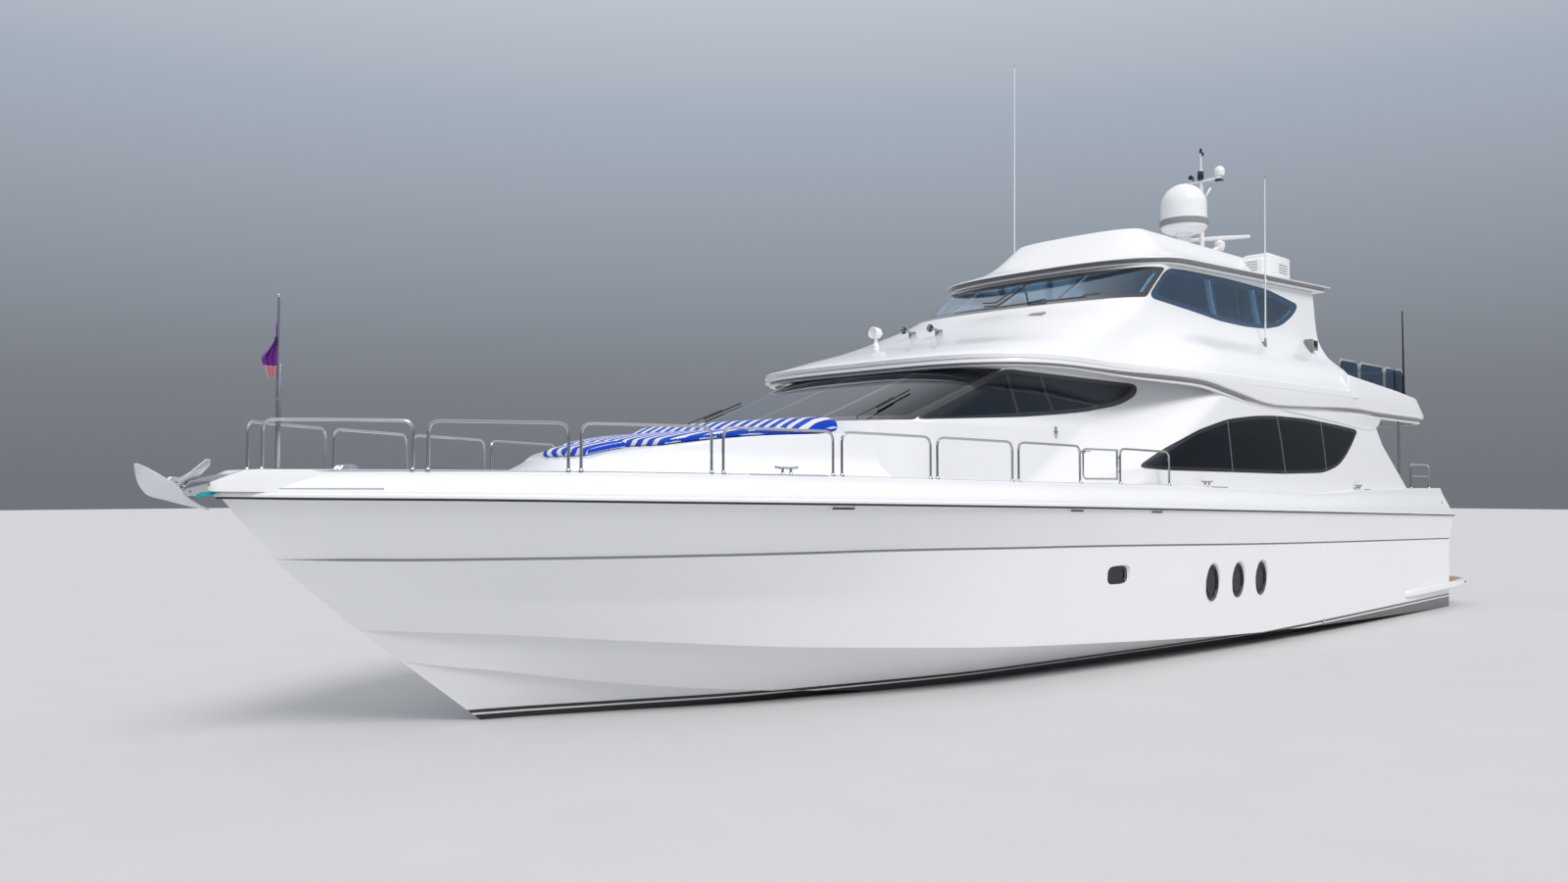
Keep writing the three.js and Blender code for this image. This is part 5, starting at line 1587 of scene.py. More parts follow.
@dataclass
class Rails:
    """Rails of separate hoops on the side cap, the boat deck and the quarters, with a gate in each side."""

    hoops: Outline = (
        (11.673, 10.573), (10.453, 9.303), (9.192, 7.952), (7.832, 6.6), (6.488, 5.236), (5.131, 3.872),
        (3.755, 2.456), (1.488, 0.188),
    )
    radius: float = 0.016
    height: float = 0.475
    inset: float = 0.133
    bend: float = 0.11
    strip: tuple[float, float] = (0.17, 11.7)
    hinge: float = 1.562
    latch: float = 2.379
    gate: tuple[float, float] = (0.065, 0.45)
    deck_y: float = 2.6
    deck_spans: Outline = ((-7.18, -8.02), (-8.14, -9.28), (-9.4, -10.34))
    deck_top: float = 4.95
    deck_aft: float = -10.45
    sole: float = 4.302

    def on_cap(self, x: float, up: float = 0.0, inward: float = 0.0) -> Vector:
        """Return a point over the rail's line on the cap."""
        return Vector((x, LINES.breadth["deck"](x) - self.inset - inward, CAP_HEIGHT(x) + up))

    def build(self) -> None:
        """Make every rail."""
        paths = []
        side = Form()
        for start, end in self.hoops:
            top = [self.on_cap(x, self.height) for x in steps(start, end, 3)]
            paths.append(bent([self.on_cap(start), *top, self.on_cap(end)], self.bend, 6))
            side.add(foot(self.on_cap(start), self.radius), foot(self.on_cap(end), self.radius))
        side.add(Form.pipe(paths, self.radius), self.base().dressed(1), *self.lugs())
        keep_pair("side_rails", side, STEEL, GELCOAT, node="side_rail")
        self.build_gates()
        self.build_quarters()
        self.build_boat_deck()

    def base(self) -> Form:
        """Lay the low strip that the hoops stand on."""
        half, height = 0.027, 0.005
        section = [(-half, 0.0), (half, 0.0), (half - 0.004, height), (0.004 - half, height)]

        def place(u: float, v: float) -> Vector:
            """Return the strip's point round its section and along the cap."""
            across, up = section[round(u * 4) % 4]
            return self.on_cap(mix(*self.strip, v), up, across)

        return Form.skin(4, 90, place)

    def lugs(self) -> list[Form]:
        """Make the two lugs that the gate hangs on."""
        x, y, z = self.on_cap(self.hinge)
        reach = x - 1.495 - self.radius
        return [
            Form.block(
                (x - self.radius - reach, y - 0.009, z + up), (x - self.radius, y + 0.009, z + up + 0.024),
                0.004
            )
            for up in (0.15, 0.34)
        ]

    def build_gates(self) -> None:
        """Make the gates."""
        base = CAP_HEIGHT(self.hinge)
        low, high = (base + up for up in self.gate)

        def point(x: float, z: float) -> Vector:
            """Return a point in the gate."""
            return Vector((x, LINES.breadth["deck"](x) - self.inset, z))

        pipe = self.radius - 0.003
        frame = [
            point(self.hinge, high), point(self.latch, high), point(self.latch, low), point(self.hinge, low)
        ]
        gate = tube(frame, pipe, 0.06)
        gate.add(
            Form.rod(
                point(self.hinge, low - 0.016), point(self.hinge, high + 0.016), self.radius, ease_by=0.003
            )
        )
        latch = point(self.latch, high - 0.03)
        gate.add(Form.block(latch - Vector((0.03, 0.022, 0.03)), latch + Vector((0.03, 0.022, 0.012)), 0.008))
        gate.add(tube([latch + Vector((-0.01, 0.024, 0)), latch + Vector((-0.13, 0.03, 0.004))], 0.008))
        keep_pair("rail_gate", gate, STEEL, node="side_gate", body="side_gate_{}")

    def build_quarters(self) -> None:
        """Make the stern rails and the poles under the boat deck's overhang."""
        cap = CAP_HEIGHT(-10.5)
        forward, aft = (-9.95, 2.86), (-11.05, 2.83)
        rail = tube(
            [(*forward, cap), (*forward, cap + 0.49), (*aft, cap + 0.49), (*aft, cap)], self.radius, 0.09
        )
        rail.add(tube([(*forward, cap + 0.25), (*aft, cap + 0.25)], 0.011))
        rail.add(foot((*forward, cap), self.radius), foot((*aft, cap), self.radius))
        keep_pair("quarter_rail", rail, STEEL, node="stern_rail")
        pole = (-9.79, 2.7)
        low, high = LINES.height["deck"](pole[0]) + 0.002, 4.168
        post = Form.post(pole, low, high, 0.024, steps=20).add(foot((*pole, low), 0.024))
        post.add(foot((0, 0, 0), 0.024).turned_by(180, "X").moved((*pole, high)))
        keep_pair("overhang_post", post, STEEL, node="overhang_pole")

    def build_boat_deck(self) -> None:
        """Make the boat deck's rail, its smoked panels and the ensign staff."""
        ends = [((a, self.deck_y), (b, self.deck_y)) for a, b in self.deck_spans]
        ends += [((a, -self.deck_y), (b, -self.deck_y)) for a, b in self.deck_spans]
        ends += [((self.deck_aft, a), (self.deck_aft, b)) for a, b in ((2.48, 1.36), (1.24, 0.06),
                                                                       (-0.06, -1.24),
                                                                       (-1.36, -2.48))]
        rail = Form()
        for a, b in ends:
            path = [(*a, self.sole), (*a, self.deck_top), (*b, self.deck_top), (*b, self.sole)]
            rail.add(tube(path, 0.02, 0.13), foot((*a, self.sole), 0.02), foot((*b, self.sole), 0.02))
        keep("boat_deck_rails", rail, STEEL, node="boat_deck_rail")
        panels = Form()
        for a, b in self.deck_spans:
            pane = [(a - 0.03, 4.4), (b + 0.03, 4.4), (b + 0.03, 4.92), (a - 0.03, 4.92)]
            panels.add(Form.prism(rounded(pane, 0.11), self.deck_y + 0.006, self.deck_y + 0.014))
        keep_pair("smoked_panels", panels, SMOKE, node="rail_panel")
        x, y = -10.13, 2.7
        staff = Form.post((x, y), 4.3, 6.13, 0.022, 0.012).add(ball((x, y, 6.13), 0.02))
        staff.add(Form.post((x, y), 4.302, 4.5, 0.032, ease_by=0.004), foot((x, y, 4.302), 0.032))
        keep("ensign_pole", staff, BLACK, node="ensign_staff")


# Bow


@dataclass
class BowGear:
    """Anchor on its roller, windlass, and the bow staff with its pennant."""

    cheek: Outline = (
        (11.15, 2.54), (11.95, 2.54), (12.23, 2.43), (12.33, 2.43), (12.35, 2.48), (12.27, 2.57),
        (11.95, 2.64),
        (11.15, 2.64),
    )
    scoop: tuple[tuple[float, ...], ...] = (
        (12.078, 2.297, 12.084, 2.303, 0.012), (12.3, 2.352, 12.32, 2.425, 0.16),
        (12.44, 2.392, 12.43, 2.53, 0.235),
        (12.602, 2.444, 12.56, 2.61, 0.25), (12.685, 2.57, 12.66, 2.68, 0.19),
        (12.706, 2.715, 12.706, 2.725, 0.03),
    )
    shank: Outline = (
        (12.48, 2.41), (12.4, 2.395), (12.36, 2.47), (12.325, 2.53), (12.27, 2.513), (12.215, 2.56),
        (12.075, 2.72),
        (12.075, 2.775), (12.11, 2.775), (12.25, 2.65), (12.33, 2.6), (12.42, 2.61), (12.48, 2.54),
    )
    wheel: tuple[float, float] = (12.27, 2.475)
    staff: float = 11.46
    pole_gap: float = 0.032

    def build(self) -> None:
        """Make it all."""
        self.build_roller()
        self.build_anchor()
        self.build_windlass()
        self.build_staff()
        self.build_pennant()

    def build_roller(self) -> None:
        """Make the roller's channel, cheeks and wheel."""
        x, z = self.wheel
        cheeks = Form.prism(self.cheek, 0.085, 0.095).eased(0.003, 2, 40.0).both_sides()
        profile = [
            (0, -0.084), (0.03, -0.084), (0.038, -0.07), (0.024, 0.0), (0.038, 0.07), (0.03, 0.084),
            (0, 0.084)
        ]
        wheel = Form.turned(profile, 28).turned_by(90, "X").moved((x, 0, z))
        bolts = Form.rod((x, -0.107, z), (x, 0.107, z), 0.013, steps=6)
        bolts.add(Form.rod((12.05, -0.1, 2.6), (12.05, 0.1, 2.6), 0.008))
        roller = Form.block((11.15, -0.094, 2.54), (12.0, 0.094, 2.55), 0.002).add(cheeks, wheel, bolts)
        roller.add(Form.block((11.15, -0.075, 2.43), (11.5, 0.075, 2.541), 0.004))
        keep("bow_roller_assembly", roller, STEEL, node="bow_roller")

    def build_anchor(self) -> None:
        """Make the polished plough anchor."""
        rows = [(k / (len(self.scoop) - 1), row) for k, row in enumerate(self.scoop)]
        keel_x, keel_z, edge_x, edge_z, half = (curve([(t, row[k]) for t, row in rows]) for k in range(5))

        def place(u: float, v: float) -> Vector:
            """Return the scoop's point across and along it."""
            side = 2 * u - 1
            reach = abs(side) ** 1.25
            return Vector(
                (mix(keel_x(v), edge_x(v), reach), side * half(v), mix(keel_z(v), edge_z(v), reach))
            )

        plough = Form.sheet(24, 28, place)
        plough.outward()
        if sum(face.normal.z for face in plough.bm.faces) > 0:
            bmesh.ops.reverse_faces(plough.bm, faces=plough.bm.faces)
        bmesh.ops.solidify(plough.bm, geom=plough.bm.faces, thickness=0.014)
        plough.outward()
        shank = Form.prism(self.shank, -0.016, 0.016)
        for x, z, radius in ((12.092, 2.755, 0.009), (12.36, 2.56, 0.014)):
            shank.cut(Form.rod((x, -0.05, z), (x, 0.05, z), radius, steps=20))
        keep("plough_anchor", plough.add(shank.eased(0.004, 2, 50.0)), FORGED, node="anchor",
             crease=35.0)
        rings = Form()
        for up in (0.0, 0.015):
            ring = []
            for angle in steps(0.0, math.tau, 24):
                ring.append(
                    (
                        12.15 + 0.115 * math.cos(angle), 0.108 * math.sin(angle),
                        2.44 + up - 0.018 * math.cos(angle)
                    )
                )
            rings.add(tube(ring, 0.008))
        keep("anchor_lashing", rings, TURQUOISE)

    def build_windlass(self) -> None:
        """Make the windlass: base, housing, chain wheel and warping drums."""
        deck = LINES.height["deck"](10.8) + 0.002
        axis = (10.78, 0.0, deck + 0.19)
        half = [
            (0.118, 0.03), (0.088, 0.045), (0.088, 0.07), (0.12, 0.085), (0.12, 0.12), (0.058, 0.135),
            (0.04, 0.16),
            (0.04, 0.21), (0.06, 0.235), (0.06, 0.25), (0.05, 0.26), (0.0, 0.26),
        ]
        profile = [(r, -y) for r, y in reversed(half)] + half
        drum = Form.turned(profile, 36).turned_by(90, "X").moved(axis)
        base = Form.block((10.6, -0.17, deck), (10.95, 0.17, deck + 0.07), 0.02, 4)
        post = Form.block((10.71, -0.06, deck + 0.05), (10.85, 0.06, deck + 0.2), 0.02)
        keep("anchor_windlass", drum.add(base, post), STEEL, node="windlass")

    def build_staff(self) -> None:
        """Make the twin-pole bow staff."""
        x, low = self.staff, 2.551
        staff = Form.post((x, -self.pole_gap), low, 4.37, 0.014, 0.012)
        staff.add(Form.post((x, self.pole_gap), low, 3.7, 0.014, ease_by=0.004))
        staff.add(
            ball((x, -self.pole_gap, 4.378), 0.02), Form.post((x, 0), low, low + 0.012, 0.062, ease_by=0.003)
        )
        for up in (0.82, 1.14):
            staff.add(Form.rod((x, -self.pole_gap, low + up), (x, self.pole_gap, low + up), 0.01))
        keep("twin_bow_staff", staff, STEEL, node="bow_staff")

    def build_pennant(self) -> None:
        """Hang the pennant from the taller pole."""
        hoist, fly, low, high = self.staff + 0.016, 0.24, 3.585, 3.975
        spread = curve([(0.0, 0.075), (0.2, 0.1), (0.45, 0.135), (0.7, 0.07), (0.9, 0.024), (1.0, 0.015)])

        def place(u: float, v: float) -> Vector:
            """Return the cloth's point along its fly, which hangs in folds, and up its hoist."""
            reach = spread(v)
            depth = math.sqrt(fly**2 - reach**2) / 10
            fold = math.sin(math.tau * 2.5 * u + 0.5 * math.sin(3.0 * v))
            x = hoist + reach * u + 0.12 * depth * math.sin(math.tau * 5 * u)
            return Vector((x, -self.pole_gap + depth * fold, mix(low, high, v) - 0.02 * u * (1.0 - v)))

        cloth = Form.sheet(80, 48, place)
        piece = keep("pennant_cloth", cloth, PURPLE, node="pennant", crease=80.0)
        tie = tube([(hoist - 0.002, -self.pole_gap, high - 0.02), (hoist, -self.pole_gap - 0.004, 4.05),
                    (hoist - 0.006, -self.pole_gap, 4.12)], 0.007, 0.03)
        keep("pennant_tie", tie, PURPLE)


# Soft goods


def puffed(form: Form, voxel: float, most: float, pressure: float = 4.0) -> Form:
    """Blow a pad up as cloth under pressure.

    Args:
        form: the pad's shape, a little small.
        voxel: how fine its mesh becomes.
        most: the furthest that a point may move.
        pressure: the pressure inside.

    Returns:
        The pad, finer and rounder.
    """
    holder = form.carrier()

    def settle(kind: str, **values: object) -> None:
        """Give the pad a modifier and keep what it makes."""
        modifier = holder.modifiers.new(kind, kind)
        for key, value in values.items():
            setattr(modifier, key, value)
        if kind == "CLOTH":
            modifier.settings.use_pressure = True
            modifier.settings.uniform_pressure_force = pressure
            modifier.settings.effector_weights.gravity = 0.0
            for frame_number in range(1, 21):
                bpy.context.scene.frame_set(frame_number)
        made = bpy.data.meshes.new_from_object(holder.evaluated_get(bpy.context.evaluated_depsgraph_get()))
        holder.modifiers.clear()
        holder.data = made

    settle("REMESH", mode="VOXEL", voxel_size=voxel)
    start = [vertex.co.copy() for vertex in holder.data.vertices]
    settle("CLOTH")
    for vertex, place in zip(holder.data.vertices, start):
        step = vertex.co - place
        if step.length > most:
            vertex.co = place + step.normalized() * most
    settle("SUBSURF", levels=1, render_levels=1)
    form.bm.clear()
    form.bm.from_mesh(holder.data)
    bpy.data.objects.remove(holder)
    bpy.context.scene.frame_set(1)
    return form


def cushion(low: Sequence[float], high: Sequence[float], crown: float = 0.03, cells: int = 9) -> Form:
    """Make a crowned cushion between two corners, its sides drawn in between the corners."""
    form = Form.block(low, high)
    bmesh.ops.subdivide_edges(form.bm, edges=form.bm.edges, cuts=cells, use_grid_fill=True)
    middle = (Vector(low) + Vector(high)) / 2
    half = (Vector(high) - Vector(low)) / 2
    thin = min(range(3), key=lambda k: half[k])
    for vertex in form.bm.verts:
        part = [(vertex.co[k] - middle[k]) / half[k] for k in range(3)]
        swell = [1 - value * value for value in part]
        for k in range(3):
            others = swell[(k + 1) % 3] * swell[(k + 2) % 3]
            if k == thin:
                vertex.co[k] += part[k] * (crown * others - 0.5 * crown)
            else:
                vertex.co[k] -= part[k] * 0.25 * crown * (1 + swell[3 - k - thin])
    bmesh.ops.smooth_vert(
        form.bm, verts=form.bm.verts, factor=0.5, use_axis_x=True, use_axis_y=True, use_axis_z=True
    )
    return form


def keep_padded(name: str, form: Form, *finishes: Finish, fill: float = 0.7, **facts: object) -> None:
    keep(name, form, *finishes, crease=80.0, **facts)


@dataclass
class SunPads:
    """Striped pads on the trunk: a narrow one forward and a broad one that rises to a bolster."""

    forward: tuple[tuple[float, float, float], ...] = (
        (8.235, 0.45, 0.04), (8.215, 0.475, 0.07), (8.17, 0.482, 0.075), (7.72, 0.49, 0.075),
        (7.69, 0.485, 0.05),
    )
    broad: tuple[tuple[float, float, float], ...] = (
        (7.625, 1.03, 0.03), (7.6, 1.07, 0.06), (7.54, 1.1, 0.07), (7.14, 1.34, 0.078), (6.67, 1.54, 0.082),
        (6.22, 1.66, 0.085), (6.19, 1.65, 0.06),
    )
    bolster: tuple[tuple[float, float, float], ...] = (
        (6.18, 1.66, 0.04), (6.15, 1.69, 0.08), (6.02, 1.74, 0.14), (5.86, 1.79, 0.19), (5.7, 1.83, 0.195),
        (5.6, 1.84, 0.17), (5.57, 1.81, 0.1),
    )
    swell: float = 0.007

    def build(self) -> None:
        """Make the pads."""
        keep_padded(
            "forward_sun_pad", self.pad(self.forward, 0.012), STRIPED, PAD_BLUE, node="sun_pad_forward",
            paint=self.side_band,
        )
        keep_padded(
            "broad_sun_pad", self.pad(self.broad, 0.02), STRIPED, PAD_BLUE, node="sun_pad_aft",
            paint=self.side_band,
        )
        keep_padded(
            "sun_pad_bolster", self.pad(self.bolster, 0.018), STRIPED, PAD_BLUE,
            paint=lambda face: int(face.normal.z < -0.5),
        )

    @staticmethod
    def side_band(face: bmesh.types.BMFace) -> int:
        """Choose the plain cloth for a pad's long sides."""
        return int(abs(face.normal.y) > 0.72)

    def pad(self, slices: tuple[tuple[float, float, float], ...], voxel: float) -> Form:
        """Make one pad through its slices, each with its place, half breadth and thickness."""
        half = curve([(x, h) for x, h, _ in slices])
        thick = curve([(x, t) for x, _, t in slices])
        xs = [x for x, _, _ in slices]
        first, last = max(xs), min(xs)

        def place(u: float, v: float) -> Vector:
            """Return the pad's point round its section and along it."""
            x = mix(first, last, 0.5 - 0.5 * math.cos(math.pi * v))
            angle = math.tau * u
            across = math.copysign(abs(math.cos(angle)) ** 0.16, math.cos(angle))
            up = math.copysign(abs(math.sin(angle)) ** 0.45, math.sin(angle))
            crown = 0.012 * (1 - across * across) if up > 0 else 0.0
            base = TRUNK_TOP(x) + 0.006
            return Vector((x, across * half(x), base + thick(x) * (0.5 + 0.5 * up) + crown))

        made = puffed(Form.skin(96, 60, place), voxel, self.swell)
        across = made.bm.verts.layers.float.new("across")
        for vertex in made.bm.verts:
            x, y, z = vertex.co
            vertex.co.z = max(z, TRUNK_TOP(x) + 0.002)
            drop = max(0.0, TRUNK_TOP(x) + thick(x) - z)
            vertex[across] = y + math.copysign(drop, y)
        return made


# Roof


@dataclass
class RoofGear:
    """Dome, mast, radar, locker, whip aerials and lights on and round the roof."""

    dome: tuple[float, float] = (-6.22, 7.58)
    mast: float = -6.95
    radar: float = -7.7
    radar_z: float = 7.64
    heading: float = 28.0
    whips: tuple[tuple[str, float, float, float], ...] = (
        ("port", -4.48, 7.95, 1.0), ("starboard", -3.85, 11.05, -1.0)
    )
    whip_y: float = 2.42

    def build(self) -> None:
        """Make it all."""
        self.build_dome()
        self.build_mast()
        self.build_radar()
        self.build_locker()
        self.build_whips()

    def build_dome(self) -> None:
        """Make the satellite dome and its pedestal."""
        x, low = self.dome
        bowl = [(0.165 + 0.285 * math.sin(t), 0.15 * (1 - math.cos(t))) for t in steps(0.25, math.pi / 2, 9)]
        cap = [(0.444 * math.cos(t), 0.566 + 0.444 * math.sin(t)) for t in steps(0.0, math.pi / 2, 16)]
        band = [(0.462, 0.152), (0.467, 0.162), (0.466, 0.268), (0.46, 0.276), (0.447, 0.28)]
        profile = [(0, 0), (0.16, 0), *bowl, *band, *cap[:-1], (0, 1.01)]
        keep(
            "dome_cover", Form.turned(profile, 64, (x, 0, low)), GELCOAT, GREY, node="satellite_dome",
            crease=35.0,
            paint=lambda face: int(0.15 < face.calc_center_median().z - low < 0.278),
        )
        stand = [
            (0, 6.75), (0.24, 6.75), (0.24, 6.94), (0.225, 6.958), (0.16, 6.965), (0.135, 7.0), (0.125, 7.3),
            (0.13, 7.52),
            (0.165, 7.56), (0.17, 7.579), (0, 7.579),
        ]
        keep("dome_stand", Form.turned(stand, 48, (x, 0, 0)), GELCOAT, node="dome_pedestal", crease=35.0)

    def build_mast(self) -> None:
        """Make the mast with its crossbar, radar arm, lamps and the small dome."""
        x, r = self.mast, self.radar
        mast = Form.post((x, 0), 6.3, 9.0, 0.055, 0.036, 24)
        mast.add(
            Form.post((x, 0), 9.0, 9.37, 0.018, 0.014), Form.post((x, 0), 8.96, 9.01, 0.045, ease_by=0.006)
        )
        mast.add(Form.block((x - 0.05, -0.42, 8.765), (x + 0.05, 0.42, 8.795), 0.01))
        mast.add(tube([(x, 0, 8.3), (x - 0.38, 0, 8.7)], 0.022), ball((x - 0.38, 0, 8.7), 0.022))
        mast.add(tube([(x, 0, 7.25), (r, 0, self.radar_z - 0.11)], 0.04))
        stand = [(0, -0.18), (0.08, -0.18), (0.1, -0.15), (0.11, -0.1), (0.11, -0.02), (0.095, 0.0), (0, 0.0)]
        mast.add(Form.turned(stand, 36, (r, 0, self.radar_z)))
        mast.add(Form.block((x - 0.06, 0.33, 8.78), (x + 0.06, 0.42, 8.811), 0.01))
        lamps = Form.post((x + 0.02, 0.0), 8.8, 8.985, 0.062, steps=24, ease_by=0.01)
        lamps.add(Form.rod((x + 0.02, -0.17, 8.87), (x + 0.12, -0.17, 8.87), 0.035, 0.05, 20, 0.005))
        lamps.add(
            Form.post((x, -0.17), 8.795, 8.87, 0.012), Form.post((x, 0), 9.36, 9.46, 0.026, ease_by=0.005)
        )
        lamps.add(Form.post((x, 0.045), 9.3, 9.37, 0.022, ease_by=0.004))
        lamps.add(Form.block((x - 0.1, 0.3, 8.72), (x + 0.02, 0.44, 8.765), 0.012))
        keep("radar_mast", mast.add(lamps.dressed(1)), GELCOAT, BLACK, node="mast")
        dome = ball((0, 0, 0), 0.109)
        for vertex in dome.bm.verts:
            vertex.co.z = max(vertex.co.z, -0.055) * (1.0 if vertex.co.z > 0 else 1.6)
        keep(
            "small_dome_cover", dome.weld().moved((x - 0.04, 0.375, 8.9225)), GELCOAT, node="small_dome",
            crease=50.0
        )

    def build_radar(self) -> None:
        """Make the open array scanner on its spindle."""
        bar = Form.block((-0.055, -0.6, 0.03), (0.055, 0.6, 0.12), 0.028, 5)
        bmesh.ops.bisect_plane(bar.bm, geom=bar.bm.verts[:] + bar.bm.edges[:] + bar.bm.faces[:],
                               plane_co=(0, 0, 0),
                               plane_no=(0, 1, 0))
        for vertex in bar.bm.verts:
            narrow = 1 - 0.35 * (abs(vertex.co.y) / 0.6) ** 2
            vertex.co.x *= narrow
            vertex.co.z = 0.075 + (vertex.co.z - 0.075) * narrow
        bar.add(Form.turned([(0, 0.001), (0.06, 0.001), (0.06, 0.02), (0.048, 0.04), (0, 0.04)], 32))
        bar.turned_by(self.heading, "Z").moved((self.radar, 0, self.radar_z))
        keep("radar_array", bar, GELCOAT, node="radar_scanner", body="radar_scanner", crease=35.0)

    def build_locker(self) -> None:
        """Make the stepped roof locker with its louvres."""
        box = Form.block((-6.96, 1.29, 6.25), (-6.02, 1.8, 6.93), 0.045, 4)
        box.add(Form.block((-6.1, 1.33, 6.25), (-5.85, 1.78, 6.84), 0.06, 5))
        box.add(Form.block((-6.9, 1.34, 6.9), (-6.1, 1.75, 6.945), 0.015))
        slots = Form()
        for k in range(4):
            z = 6.6 + 0.05 * k
            slots.add(Form.block((-6.8, 1.795, z), (-6.45, 1.806, z + 0.016), 0.004))
            slots.add(Form.block((-5.86, 1.45, z), (-5.845, 1.66, z + 0.016), 0.004))
        keep("roof_locker_box", box.add(slots.dressed(1)), GELCOAT, GREY, node="roof_locker")

    def build_whips(self) -> None:
        """Make the whip aerials, each on its bracket."""
        for side, x, high, sign in self.whips:
            y = self.whip_y
            whip = Form.rod((x, y, 5.0), (x - 0.08, y, high), 0.016, 0.007, 16)
            whip.add(Form.rod((x - 0.04, y, 6.1), (x - 0.042, y, 6.16), 0.024, ease_by=0.004))
            dark = Form.post((x, y), 4.97, 5.12, 0.026, 0.02, 16, 0.004)
            dark.add(Form.post((x - 0.08, y), high - 0.01, high + 0.05, 0.012, 0.005))
            dark.add(Form.block((x - 0.03, y - 0.12, 5.01), (x + 0.03, y, 5.06), 0.008))
            whip.add(dark.dressed(1))
            made = whip if sign > 0 else whip.mirrored()
            keep(f"whip_aerial_{side}", made, GELCOAT, GREY, node=f"whip_{side}")


# Doors, furniture and running gear


@dataclass
class Doors:
    """The sliding doors in the two bulkheads and the gate in the transom."""

    def build(self) -> None:
        """Make the leaves and the tracks that they slide on."""
        sole = LINES.height["deck"](-7.45) + 0.008
        self.slider("saloon", (-7.586, -7.546), 0.52, (sole, 3.959))
        self.slider("bridge", (-6.616, -6.576), 0.47, (4.308, 6.079))
        for name, x, ends, z in (("saloon", -7.57, (-1.0, 1.6), 3.985), ("bridge", -6.6, (-0.9, 1.5), 6.105)):
            track = Form.block((x - 0.04, ends[0], z - 0.024), (x + 0.04, ends[1], z + 0.024), 0.006)
            keep(f"{name}_door_track", track, STEEL)
        self.transom_gate()

    def slider(
        self, name: str, across: tuple[float, float], half: float, heights: tuple[float, float]
    ) -> None:
        """Make a framed glass door."""
        (back, front), (low, high) = across, heights
        edge = 0.055
        leaf = Form.block((back, -half, low), (front, half, high), 0.004)
        leaf.cut(Form.block((back - 0.1, edge - half, low + edge), (front + 0.1, half - edge, high - edge)))
        middle = (back + front) / 2
        pane = Form.block((middle - 0.005, edge - half - 0.01, low + edge - 0.01), (middle + 0.005,
                                                                                    half - edge + 0.01,
                                                                                 high - edge + 0.01))
        grip = (back - 0.001, half - 0.1, (low + high) / 2)
        handle = tube([grip, (back - 0.04, grip[1], grip[2]), (back - 0.04, grip[1], grip[2] + 0.3),
                       (back, grip[1], grip[2] + 0.3)], 0.01, 0.02)
        keep(
            f"{name}_door_leaf", leaf.add(handle, pane.dressed(1)), STEEL, TINT, node=f"{name}_door",
            slot="tinted_glass", body=f"{name}_door",
        )

    def transom_gate(self) -> None:
        """Make the gate with its hinge stile and latch."""
        x, y, high = -11.03, -2.2196, 2.48
        sole = LINES.height["deck"](-11.0) + 0.008
        gate = Form.block((-11.055, y + 0.01, sole), (-11.005, -1.608, high), 0.018, 4)
        gate.add(Form.post((x, y), sole, high, 0.03, steps=24, ease_by=0.006))
        for z in (sole + 0.08, high - 0.1):
            gate.add(Form.post((x, y), z, z + 0.03, 0.034, steps=24, ease_by=0.004).dressed(1))
        gate.add(Form.block((-11.062, -1.72, high - 0.1), (-10.998, -1.63, high - 0.06), 0.008).dressed(1))
        keep("transom_gate_leaf", gate, GELCOAT, STEEL, node="transom_gate", body="transom_gate")


